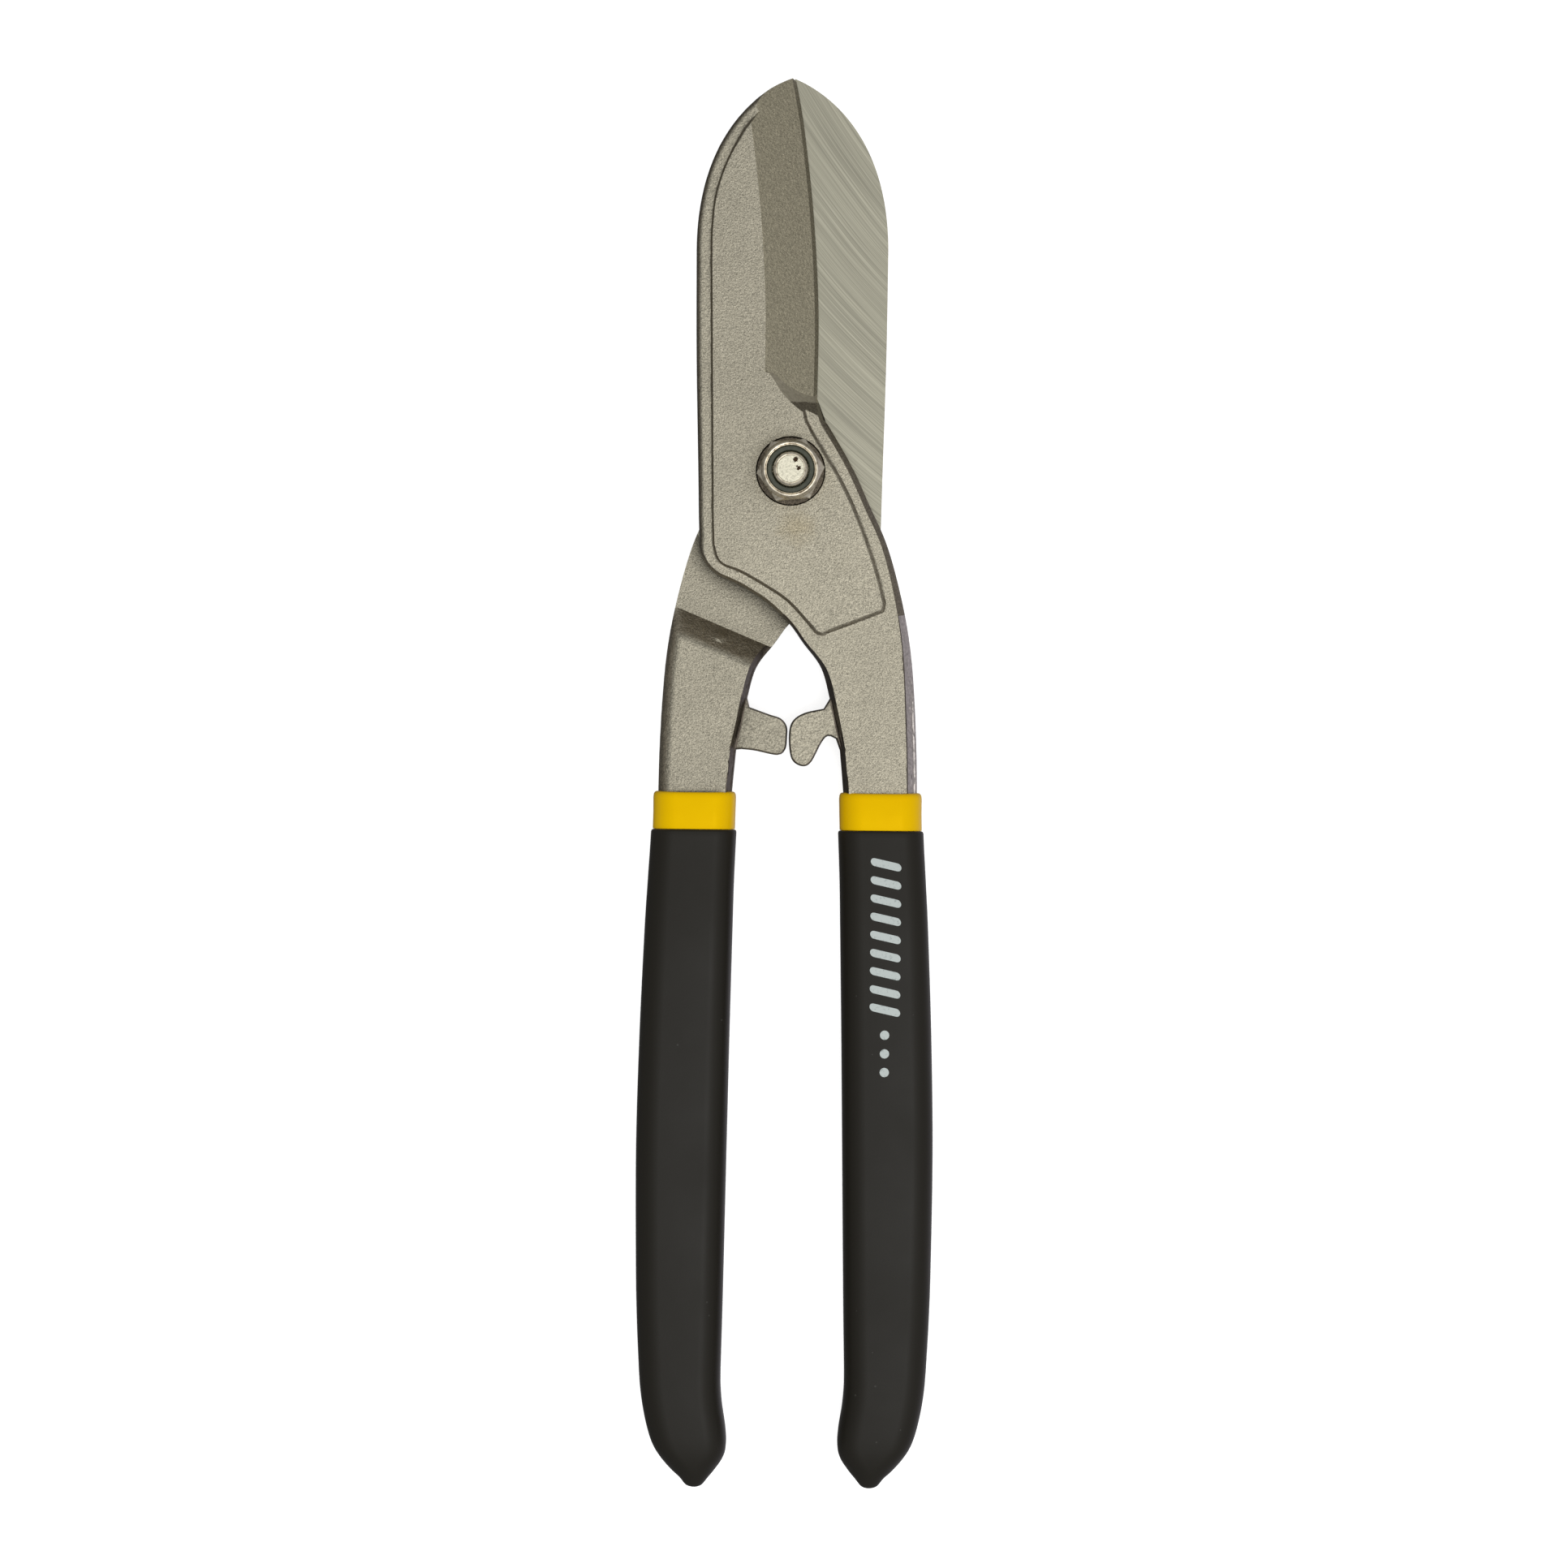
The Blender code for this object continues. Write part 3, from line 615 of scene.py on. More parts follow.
def turned_mesh(rings, start=0.0, is_ring=False):
    """A closed mesh through rings of (radius by angle, height); a ring's last joins its first."""
    turn = start + np.arange(SIDES) * (2 * math.pi / SIDES)
    mesh = bmesh.new()
    loops = []
    for radius, z in rings:
        r = radius(turn)
        loops.append([mesh.verts.new(p) for p in zip(r * np.cos(turn), r * np.sin(turn), [z] * SIDES)])
    pairs = list(zip(loops, loops[1:]))
    if is_ring:
        pairs.append((loops[-1], loops[0]))
    else:
        for loop in (loops[0], loops[-1]):
            middle = mesh.verts.new(sum((v.co for v in loop), Vector()) / SIDES)
            for i in range(SIDES):
                mesh.faces.new([loop[i], loop[(i + 1) % SIDES], middle])
    for low, high in pairs:
        bridge(mesh, low, high)
    return mesh


def round_over(radius, z, size, quarter, count=6):
    """Rings round a convex corner: quarter 0 goes up and in, and quarter 1 goes in and down."""
    rings = []
    for i in range(count + 1):
        turn = math.radians(90 * i / count)
        if quarter == 0:
            rings.append((circle(radius - size + size * math.cos(turn)), z - size + size * math.sin(turn)))
        else:
            rings.append((circle(radius + size - size * math.sin(turn)), z - size + size * math.cos(turn)))
    return rings


def grip_frame(y, offset):
    """Middle, half width and half thickness of the grip's section, made smaller by an offset."""
    shape = spline(GRIP_SIDES[::-1], 1.0)
    inner, outer, thickness = [np.interp(y, shape[:, 0], shape[:, column]) for column in (1, 2, 3)]
    thickness = min(thickness, GRIP_HALF_THICKNESS) - offset
    return (inner + outer) / 2, max((outer - inner) / 2 - offset, 0.2), max(thickness, 0.2)


def section(middle, width, thickness, y, corner):
    """A rounded rectangle across the handle, counted from its right side."""
    corner = min(corner, 0.98 * width, 0.98 * thickness)
    points = []
    for quarter in range(4):
        side_x = 1 if quarter in (0, 3) else -1
        side_z = 1 if quarter in (0, 1) else -1
        for step in range(13):
            turn = math.radians(90 * quarter + 7.5 * step)
            x = side_x * (width - corner) + corner * math.cos(turn)
            z = side_z * (thickness - corner) + corner * math.sin(turn)
            points.append((middle + x, y, z))
    return points


def grip_sections(top, offset, lip=()):
    """Sections from the top of the coat down to its closed end. lip is (how far down, how far in)."""
    corner = GRIP_CORNER - offset
    rows = [section(*grip_frame(top - down, offset + more), top - down, corner) for down, more in lip]
    first = top - lip[-1][0] - 1.0 if lip else top
    for y in np.arange(first, CAP_START + 1.0, -2.5):
        rows.append(section(*grip_frame(y, offset), y, corner))
    shrink = 1.0 - 1.6 * offset / (CAP_START - GRIP_END)
    for u in np.linspace(0.0, 1.0, 34):
        down = (CAP_START - GRIP_END) * (1.0 - (1.0 - u) ** 1.5)
        rows.append(section(*grip_frame(CAP_START - down, offset), CAP_START - down * shrink, corner))
    return rows


def cup_mesh(outer_rows, inner_rows):
    """A coat closed at its far end and open at its top."""
    mesh = bmesh.new()
    skins = [[[mesh.verts.new(p) for p in row] for row in rows] for rows in (outer_rows, inner_rows)]
    bands = [pair for skin in skins for pair in zip(skin, skin[1:])]
    bands.append((skins[0][0], skins[1][0]))
    for first, second in bands:
        bridge(mesh, first, second)
    for skin in skins:
        mesh.faces.new(skin[-1])
    return mesh


def finished(name, mesh, materials, body, slot, flipped=False, sharp=40.0, replaced=()):
    """The mesh as an object in the frame, riding on its body."""
    bmesh.ops.remove_doubles(mesh, verts=mesh.verts, dist=1e-4)
    bmesh.ops.recalc_face_normals(mesh, faces=mesh.faces)
    mesh.edges.index_update()
    borders = [edge.index for edge in mesh.edges if len({f.material_index for f in edge.link_faces}) > 1]
    for vertex in mesh.verts:
        x, y, z = vertex.co
        if flipped:
            x, z = -x, -z
        vertex.co = Vector((PIVOT[0] + x, PIVOT[1] + y, PIVOT[2] + z)) * MM
    data = bpy.data.meshes.new(name)
    mesh.to_mesh(data)
    mesh.free()
    data.shade_smooth()
    data.set_sharp_from_angle(angle=math.radians(sharp))
    for edge in borders:
        data.edges[edge].use_edge_sharp = True
    for made in materials:
        data.materials.append(made)
    piece = bpy.data.objects.new(name, data)
    bpy.context.scene.collection.objects.link(piece)
    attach(piece, body)
    if replaced:
        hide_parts(*replaced)
    return piece


class Shader:
    """A material's nodes, with shorthand for the few kinds used here."""

    def __init__(self, name, colour, roughness, metallic, **sockets):
        self.material = bpy.data.materials.new(name)
        self.material.use_nodes = True
        self.nodes = self.material.node_tree.nodes
        self.links = self.material.node_tree.links
        self.principled = self.nodes["Principled BSDF"]
        self.place = self.add("ShaderNodeTexCoord").outputs["Object"]
        self.set("Base Color", (*colour, 1.0))
        self.set("Roughness", roughness)
        self.set("Metallic", metallic)
        for socket, value in sockets.items():
            self.set(socket.replace("_", " "), value)

    def add(self, kind, **settings):
        node = self.nodes.new(kind)
        for key, value in settings.items():
            setattr(node, key, value)
        return node

    def set(self, socket, value):
        self.principled.inputs[socket].default_value = value

    def join(self, output, target):
        self.links.new(output, target)

    def noise(self, size, detail=3.0, roughness=0.55, place=None):
        """Noise whose grain is about size metres."""
        node = self.add("ShaderNodeTexNoise")
        node.inputs["Scale"].default_value = 1.0 / size
        node.inputs["Detail"].default_value = detail
        node.inputs["Roughness"].default_value = roughness
        self.join(place or self.place, node.inputs["Vector"])
        return node.outputs["Fac"]

    def maths(self, operation, *values):
        node = self.add("ShaderNodeMath", operation=operation)
        for socket, value in zip(node.inputs, values):
            if isinstance(value, (int, float)):
                socket.default_value = value
            else:
                self.join(value, socket)
        return node.outputs[0]

    def ramp(self, factor, *stops):
        """Colours or greys at places along a factor."""
        node = self.add("ShaderNodeValToRGB")
        elements = node.color_ramp.elements
        while len(elements) < len(stops):
            elements.new(0.5)
        for element, (place, colour) in zip(elements, stops):
            element.position = place
            element.color = (*colour, 1.0) if isinstance(colour, tuple) else (colour, colour, colour, 1.0)
        self.join(factor, node.inputs["Fac"])
        return node.outputs["Color"]

    def distance(self, spot):
        """Distance from a spot, measured across the face in centimetres, which suits a ramp's 256 steps."""
        flat = self.add("ShaderNodeVectorMath", operation="MULTIPLY")
        flat.inputs[1].default_value = (1.0, 1.0, 0.0)
        self.join(self.place, flat.inputs[0])
        away = self.add("ShaderNodeVectorMath", operation="DISTANCE")
        away.inputs[1].default_value = (*spot, 0.0)
        self.join(flat.outputs[0], away.inputs[0])
        return self.maths("MULTIPLY", away.outputs["Value"], 100.0)

    def towards(self, way, start):
        """How far a place lies along a direction, from 0 at 5 cm behind a start to 1 at 5 cm ahead of it."""
        node = self.add("ShaderNodeVectorMath", operation="DOT_PRODUCT")
        node.inputs[1].default_value = (way[0] * 10.0, way[1] * 10.0, 0.0)
        self.join(self.place, node.inputs[0])
        offset = 0.5 - (way[0] * start[0] + way[1] * start[1]) * 10.0 * MM
        return self.maths("ADD", node.outputs["Value"], float(offset))

    def steepness(self):
        """0 where the surface lies flat and 1 where it stands upright."""
        parts = self.add("ShaderNodeSeparateXYZ")
        self.join(self.add("ShaderNodeNewGeometry").outputs["Normal"], parts.inputs[0])
        return self.maths("SUBTRACT", 1.0, self.maths("ABSOLUTE", parts.outputs["Z"]))

    def openness(self, reach):
        """1 in the open, and less within reach of something that stands over the surface."""
        node = self.add("ShaderNodeAmbientOcclusion", samples=8)
        node.inputs["Distance"].default_value = reach
        return node.outputs["AO"]

    def shade(self, colour, factor, *stops):
        """The colour times a ramp."""
        product = self.add("ShaderNodeVectorMath", operation="MULTIPLY")
        self.join(colour, product.inputs[0])
        self.join(self.ramp(factor, *stops), product.inputs[1])
        return product.outputs[0]

    def colour(self, output):
        self.join(output, self.principled.inputs["Base Color"])

    def rough(self, output):
        self.join(output, self.principled.inputs["Roughness"])

    def bump(self, *layers):
        """Each layer is (height output, distance in metres), and perhaps its strength."""
        normal = None
        for output, reach, *strength in layers:
            node = self.add("ShaderNodeBump")
            node.inputs["Distance"].default_value = reach
            self.join(output, node.inputs["Height"])
            for share in strength:
                self.join(share, node.inputs["Strength"])
            if normal:
                self.join(normal, node.inputs["Normal"])
            normal = node.outputs["Normal"]
        self.join(normal, self.principled.inputs["Normal"])


def tint(colour, factor):
    return tuple(channel * factor for channel in colour)


FORGED = (0.40, 0.37, 0.290)
FRONT_TONE, REAR_TONE = 1.01, 0.90
FRONT_STEEP_SHADE, REAR_STEEP_SHADE = 0.60, 1.05  # how dark the painted shade on steep places is
CONTACT_REACH = 0.0045  # metres over which the front lever shades the rear one
MILLED = (0.295, 0.268, 0.195)
GROUND = (0.32, 0.308, 0.243)
# Painted light: the run-out's colour is made pale to stand for light its facet would catch.
RUNOUT_LIGHTENED = (0.58, 0.53, 0.41)
# Painted shade: the dark colour of the sides that face the other handle, and of a thin line where the outer
# side meets the face.
INNER_SIDE_SHADE = (0.13, 0.110, 0.088)
# Painted reflection: the pale purple-grey of the front lever's outer side.
OUTER_SIDE_REFLECTION = (0.52, 0.48, 0.455)
BRIGHT = (0.69, 0.63, 0.51)
STAINED = (0.36, 0.30, 0.21)
BOLT_FACE = (0.62, 0.59, 0.47)
# Painted shade: dark spots where the bolt end has small pits, as (x, y, size) from the pivot.
PIT_SHADE_SPOTS = [(1.0, 2.0, 0.55), (1.75, 0.15, 0.42), (1.35, 0.55, 0.18)]


def forged_steel(name, tone, side, reach=0.0):
    """Bead-blasted skin: pebbly grain over a soft orange peel and a darker brownish patch below the nut, with
    painted shade on steep places, painted shade and oil round the nut, painted shade towards -x and +y on the
    front lever, and painted contact shade on the rear lever where the front lever stands over it.
    """
    shader = Shader(name, tint(FORGED, tone), 0.42, 1.0)
    grain = shader.noise(0.00029, 2.0, 0.6)
    pebbles = shader.noise(0.00055, 2.0)
    peel = shader.noise(0.0011, 2.0)
    steep = shader.steepness()
    stops = ((0.30, tint(FORGED, 0.60 * tone)), (0.5, tint(FORGED, tone)), (0.70, tint(FORGED, 1.42 * tone)))
    clouded_and_shaded = shader.shade(shader.ramp(grain, *stops), shader.noise(0.012, 4.0), (0.3, 0.94), (0.7, 1.05))
    clouded_and_shaded = shader.shade(clouded_and_shaded, pebbles, (0.30, 0.86), (0.70, 1.14))
    # Painted shade: steep places are darkened in the colour itself.
    clouded_and_shaded = shader.shade(clouded_and_shaded, steep, (0.07, 1.0), (0.28, tint((0.98, 0.93, 0.89), side)))
    if not reach:
        # Painted light and shade: the front lever's colour darkens towards -x and +y, as if lit from +x and
        # -y.
        clouded_and_shaded = shader.shade(clouded_and_shaded, shader.towards((0.7, -0.7), PIVOT), (0.38, 0.89), (0.58, 1.0))
    # A darker brownish patch just below the nut.
    from_dark_patch = shader.distance(((PIVOT[0] + 1.5) * MM, (PIVOT[1] - 12.0) * MM))
    blotch = shader.maths("MULTIPLY_ADD", shader.noise(0.003, 4.0), 0.6, from_dark_patch)
    clouded_and_shaded = shader.shade(clouded_and_shaded, blotch, (0.40, (0.92, 0.88, 0.80)), (0.80, 1.0))
    # Painted contact shade and oil round the nut: the colour darkens in a ragged ring just outside the seat.
    from_pivot = shader.distance((PIVOT[0] * MM, PIVOT[1] * MM))
    ragged = shader.maths("MULTIPLY_ADD", shader.noise(0.0008, 4.0), 0.16, from_pivot)
    clouded_and_shaded = shader.shade(clouded_and_shaded, ragged, (0.80, 0.60), (0.84, 0.93), (0.98, 1.0))
    if reach:
        # Painted contact shade: the rear lever's colour darkens where the front lever stands over it.
        clouded_and_shaded = shader.shade(clouded_and_shaded, shader.openness(reach), (0.45, 0.26), (0.70, 0.66), (0.95, 1.0))
    shader.colour(clouded_and_shaded)
    shader.rough(shader.ramp(peel, (0.3, 0.40), (0.7, 0.46)))
    flat = shader.maths("SUBTRACT", 1.0, shader.maths("MULTIPLY", steep, 1.6))
    shader.bump((peel, 0.00008), (pebbles, 0.00008), (grain, 0.00010, shader.maths("MAXIMUM", flat, 0.15)))
    return shader.material


def mottled(name, colour, finish, grain, stops, reach, bump_grain=None, **sockets):
    """A look whose colour follows one noise, with a bump reach metres high from that noise or another."""
    shader = Shader(name, colour, *finish, **sockets)
    cloud = shader.noise(*grain)
    shader.colour(shader.ramp(cloud, *stops))
    shader.bump((shader.noise(*bump_grain) if bump_grain else cloud, reach))
    return shader.material


def side_steel(name, colour):
    """A handle's side, where the flash was cut off and left a streaky wall. Its colour is painted: shade on
    the inner side, a reflection on the outer side.
    """
    stops = (0.3, tint(colour, 0.75)), (0.7, tint(colour, 1.25))
    return mottled(name, colour, (0.45, 1.0), (0.0006, 3.0), stops, 0.00006)


def seat_steel():
    """The floor of the nut's seat, dark with painted shade and old oil."""
    stops = (0.3, (0.05, 0.042, 0.032)), (0.75, (0.20, 0.17, 0.13))
    return mottled("seat_painted_shade_and_oil", (0.08, 0.07, 0.052), (0.5, 1.0), (0.0004, 4.0), stops, 0.00005)


def milled_steel():
    """The bevel: darker, speckled, with short cutter marks across it."""
    shader = Shader("milled_steel", MILLED, 0.36, 1.0)
    stretch = shader.add("ShaderNodeMapping")
    stretch.inputs["Scale"].default_value = (1.0, 2.2, 1.0)
    shader.join(shader.place, stretch.inputs["Vector"])
    marks = shader.noise(0.00030, 2.0, 0.6, stretch.outputs["Vector"])
    speckled = shader.ramp(marks, (0.32, tint(MILLED, 0.70)), (0.5, MILLED), (0.68, tint(MILLED, 1.38)))
    coarse = shader.noise(0.00055, 2.0)
    shader.colour(shader.shade(speckled, coarse, (0.3, 0.84), (0.7, 1.14)))
    shader.bump((marks, 0.00007), (coarse, 0.00009))
    return shader.material


def runout_steel():
    """Where the cutter ran out at the heel: smoother than the bevel, and made pale as painted light on this
    facet, which faces away from the light.
    """
    stops = (0.3, tint(RUNOUT_LIGHTENED, 0.86)), (0.7, tint(RUNOUT_LIGHTENED, 1.14))
    return mottled("runout_steel", RUNOUT_LIGHTENED, (0.38, 1.0), (0.0007, 2.0), stops, 0.00005)


def ground_steel(name, side):
    """The flat cutting face, ground in wide arcs about a point far off to one side."""
    shader = Shader(name, GROUND, 0.34, 1.0)
    centre = shader.add("ShaderNodeVectorMath", operation="SUBTRACT")
    centre.inputs[1].default_value = (side * 0.167, PIVOT[1] * MM + 0.180, PIVOT[2] * MM)
    shader.join(shader.place, centre.inputs[0])
    reach = shader.add("ShaderNodeVectorMath", operation="LENGTH")
    shader.join(centre.outputs[0], reach.inputs[0])
    drift = shader.maths("MULTIPLY", shader.noise(0.05, 1.0), 0.0012)
    row = shader.maths("ADD", reach.outputs["Value"], drift)
    along = shader.add("ShaderNodeSeparateXYZ")
    shader.join(shader.place, along.inputs[0])
    place = shader.add("ShaderNodeCombineXYZ")
    shader.join(row, place.inputs["X"])
    shader.join(shader.maths("MULTIPLY", along.outputs["X"], 0.008), place.inputs["Y"])
    lines = shader.noise(0.00019, 2.0, 0.6, place.outputs["Vector"])
    bands = shader.noise(0.0009, 4.0, 0.7, place.outputs["Vector"])
    striped = shader.ramp(lines, (0.28, tint(GROUND, 0.76)), (0.5, GROUND), (0.72, tint(GROUND, 1.24)))
    shader.colour(shader.shade(striped, bands, (0.35, 0.84), (0.65, 1.12)))
    shader.rough(shader.ramp(lines, (0.3, 0.40), (0.7, 0.32)))
    shader.bump((lines, 0.00002))
    return shader.material


def bright_steel():
    """Plated fastener, cloudy and a little stained."""
    shader = Shader("plated_steel", BRIGHT, 0.2, 1.0)
    cloud = shader.noise(0.0011, 4.0)
    shader.colour(shader.ramp(cloud, (0.3, tint(STAINED, 0.9)), (0.5, BRIGHT), (0.7, tint(BRIGHT, 1.15))))
    shader.rough(shader.ramp(cloud, (0.3, 0.27), (0.7, 0.15)))
    shader.bump((shader.noise(0.0006), 0.00002))
    return shader.material


def bolt_end_steel():
    """The bolt's turned end: pale and mottled, with three dark spots of painted shade where its pits are."""
    shader = Shader("bolt_end", BOLT_FACE, 0.36, 1.0)
    mottle = shader.noise(0.0005, 4.0, 0.7)
    shown = shader.ramp(mottle, (0.30, tint(BOLT_FACE, 0.62)), (0.5, BOLT_FACE), (0.72, tint(BOLT_FACE, 1.2)))
    for x, y, size in PIT_SHADE_SPOTS:
        away = shader.distance(((PIVOT[0] + x) * MM, (PIVOT[1] + y) * MM))
        ragged = shader.maths("MULTIPLY_ADD", shader.noise(0.0004, 2.0), 0.08, away)
        edge = size / 10.0 + 0.04
        shown = shader.shade(shown, ragged, (edge - 0.006, (0.06, 0.04, 0.03)), (edge + 0.006, 1.0))
    shader.colour(shown)
    shader.bump((mottle, 0.00004))
    return shader.material


def nylon():
    stops = (0.3, (0.035, 0.04, 0.025)), (0.7, (0.07, 0.075, 0.048))
    return mottled("nylon_ring", (0.05, 0.055, 0.035), (0.5, 0.0), (0.001,), stops, 0.00002, (0.0005,))


def yellow_vinyl():
    """Glossy dip with faint ripples."""
    stops = (0.3, (0.93, 0.56, 0.001)), (0.7, (0.97, 0.60, 0.001))
    return mottled("yellow_vinyl", (0.96, 0.58, 0.001), (0.28, 0.0), (0.01,), stops, 0.00005, (0.004, 1.0),
                   Specular_Tint=(1.0, 0.62, 0.02, 1.0))


def white_ink():
    """Screen print, thin in places."""
    stops = (0.30, (0.36, 0.41, 0.40)), (0.45, (0.60, 0.66, 0.64))
    return mottled("white_ink", (0.60, 0.66, 0.64), (0.5, 0.0), (0.0006, 4.0, 0.7), stops, 0.00001,
                   Specular_IOR_Level=0.3)


def black_vinyl():
    """Satin dip with a fine skin and a few specks of dust."""
    shader = Shader("black_vinyl", (0.014, 0.012, 0.008), 0.42, 0.0, Specular_IOR_Level=0.22,
                    Sheen_Weight=0.10, Sheen_Roughness=0.35)
    specks = shader.add("ShaderNodeTexVoronoi")
    specks.inputs["Scale"].default_value = 160.0
    shader.join(shader.place, specks.inputs["Vector"])
    dust = shader.maths("LESS_THAN", specks.outputs["Distance"], 0.035)
    shader.colour(shader.ramp(dust, (0.0, (0.014, 0.012, 0.008)), (1.0, (0.04, 0.038, 0.032))))
    shader.rough(shader.ramp(shader.noise(0.02), (0.3, 0.38), (0.7, 0.46)))
    shader.bump((shader.noise(0.0004, 2.0), 0.000012), (shader.noise(0.006, 1.0), 0.00004))
    return shader.material


def make_levers():
    turn = np.arange(48) * (2 * math.pi / 48)
    square = np.column_stack([np.cos(turn), np.sin(turn)]) * polygon(NECK_HALF + GAP, 4)(turn)[:, None]
    # The inner sides' dark colour is painted shade, and the outer side's pale colour a painted reflection.
    inner_side_shaded, outer_side_lit = side_steel("inner_side_painted_shade", INNER_SIDE_SHADE), side_steel("outer_side_painted_reflection", OUTER_SIDE_REFLECTION)
    last = [runout_steel(), seat_steel(), inner_side_shaded, outer_side_lit]
    front = forged_steel("forged_steel_front", FRONT_TONE, FRONT_STEEP_SHADE)
    rear = forged_steel("forged_steel_rear", REAR_TONE, REAR_STEEP_SHADE, CONTACT_REACH)
    milled = milled_steel()
    front_skins = [front, milled, ground_steel("ground_steel_front", -1), *last]
    rear_skins = [rear, milled, ground_steel("ground_steel_rear", 1), *last]
    finished(
        "front_forging", lever_mesh(HOOK_TAB, arc(HOLE, 48), SEAT, None), front_skins, "front_side",
        "forged_steel", replaced=["front_lever"], sharp=22.0,
    )
    finished(
        "rear_forging", lever_mesh(BLOCK_TAB, square, None, PIP), rear_skins, "rear_side",
        "forged_steel", flipped=True, replaced=["rear_lever"], sharp=22.0,
    )


def rounds(*places):
    """Round rings at (radius, height)."""
    return [(circle(radius), z) for radius, z in places]


def bolt_mesh():
    """Head, square neck, shank and turned end, whose top face has its own material."""
    base, head_top, top = -PIVOT[2], -LEDGE - PANEL_RISE - GAP, BOLT_TOP
    square = polygon(NECK_HALF, 4)
    rings = rounds((0.5, base), (HEAD - 0.7, base))
    for turn in [math.radians(15 * i) for i in range(7)]:
        rings += rounds((HEAD - 0.6 + 0.6 * math.sin(turn), base + 0.6 - 0.6 * math.cos(turn)))
    rings += rounds((HEAD, head_top - 0.2), (HEAD - 0.2, head_top))
    rings += [(square, head_top), (square, -GAP / 2)]
    rings += rounds((SHANK, -GAP / 2), (SHANK, top - 0.75))
    rings += rounds(*[(SHANK - 0.6 * t, top - 0.7 + 0.6 * t**0.8) for t in (0.0, 0.35, 0.7, 1.0)])
    rings += rounds((3.12, top - 0.12), (3.07, top - 0.3), (2.98, top - 0.3))
    rings += rounds((2.93, top - 0.06), (2.86, top), (1.5, top))
    bolt = turned_mesh(rings)
    for face in bolt.faces:
        middle = face.calc_center_median()
        face.material_index = int(middle.z > top - 0.2 and math.hypot(middle.x, middle.y) < 2.97)
    return bolt


def nut_mesh():
    """A hexagon with chamfered corners, and a crimped collar over the insert."""
    flats = polygon(NUT_ACROSS_FLATS / 2, 6, NUT_TURN)
    corner = NUT_ACROSS_FLATS / 2 / math.cos(math.pi / 6)
    bore, top, hex_top = SHANK + GAP, NUT_BASE + NUT_HEIGHT, NUT_BASE + HEX_HEIGHT
    chamfer_start = HEX_HEIGHT - 1.0
    rings = rounds((bore, NUT_BASE), (6.1, NUT_BASE))
    rings += [(smaller(flats, circle(6.1 + 1.4 * t)), NUT_BASE + 0.6 * t) for t in (0.3, 0.6, 1.0)]
    for t in np.linspace(0.0, 1.0, 8):
        reach = circle(corner - 0.12 - 0.93 * t)
        rings.append((smaller(flats, reach), NUT_BASE + chamfer_start + 0.75 * t**1.3))
    rings += rounds((COLLAR + 0.25, hex_top - 0.15), (COLLAR, hex_top + 0.1))
    rings += round_over(COLLAR, top, 0.42, 0)
    rings += rounds((5.46, top - 0.04), (5.40, top - 0.16), (5.34, top - 0.06))
    rings += round_over(RIM - 0.1, top, 0.2, 1)
    rings += rounds((RIM, NUT_BASE + INSERT_SEAT), (bore, NUT_BASE + INSERT_SEAT))
    return turned_mesh(rings, NUT_TURN, is_ring=True)


def insert_mesh():
    """The nylon ring in the collar."""
    low, high = NUT_BASE + INSERT_SEAT + GAP, NUT_BASE + NUT_HEIGHT - 0.5
    rings = rounds((SHANK + 0.15, low), (RIM - 0.1, low))
    rings += round_over(RIM - 0.1, high, 0.3, 0) + round_over(SHANK + 0.15, high, 0.3, 1)
    return turned_mesh(rings, is_ring=True)


def make_pivot():
    bright = bright_steel()
    for name, mesh, skins, slot, sharp, node in (
        ("bolt", bolt_mesh(), [bright, bolt_end_steel()], "plated_steel", 40.0, "pivot_bolt"),
        ("nut", nut_mesh(), [bright], "plated_steel", 30.0, "lock_nut"),
        ("nylon_insert", insert_mesh(), [nylon()], "nylon", 40.0, "nut_insert"),
    ):
        finished(name, mesh, skins, "rear_side", slot, replaced=[node], sharp=sharp)


def undercoat_mesh():
    """The yellow dip, thicker where it shows, with a soft lip at its top that dips in the middle."""
    covered = BLACK_WALL + GAP
    band = []
    for y, offset in BAND_PROFILE:
        row = section(*grip_frame(BAND_TOP - y, offset), BAND_TOP - y, GRIP_CORNER)
        middle = sum(p[0] for p in row) / len(row)
        sag = 0.3 * (1.0 - y / BAND_PROFILE[-1][0])
        band.append([(x, py - sag * (1.0 - min(1.0, abs(x - middle) / 9.0) ** 2), z) for x, py, z in row])
    below = grip_sections(BAND_END + 0.03, covered)
    inner = grip_sections(BAND_TOP - 0.5, covered + YELLOW_WALL)
    return cup_mesh(band + below, inner)


def grip_mesh():
    lip = ((0.0, 0.42), (0.08, 0.22), (0.25, 0.08), (0.6, 0.0))
    return cup_mesh(grip_sections(BAND_END, 0.0, lip), grip_sections(BAND_END, BLACK_WALL))


def rounded_bar(x, y, length, width, slant):
    """Outline of a bar with round ends, across the handle."""
    points = []
    for end in (1, -1):
        for step in range(9):
            turn = math.radians(-90 + 22.5 * step)
            along = end * ((length - width) / 2 + math.cos(turn) * width / 2)
            points.append((x + along, y + slant * along + end * math.sin(turn) * width / 2))
    return points


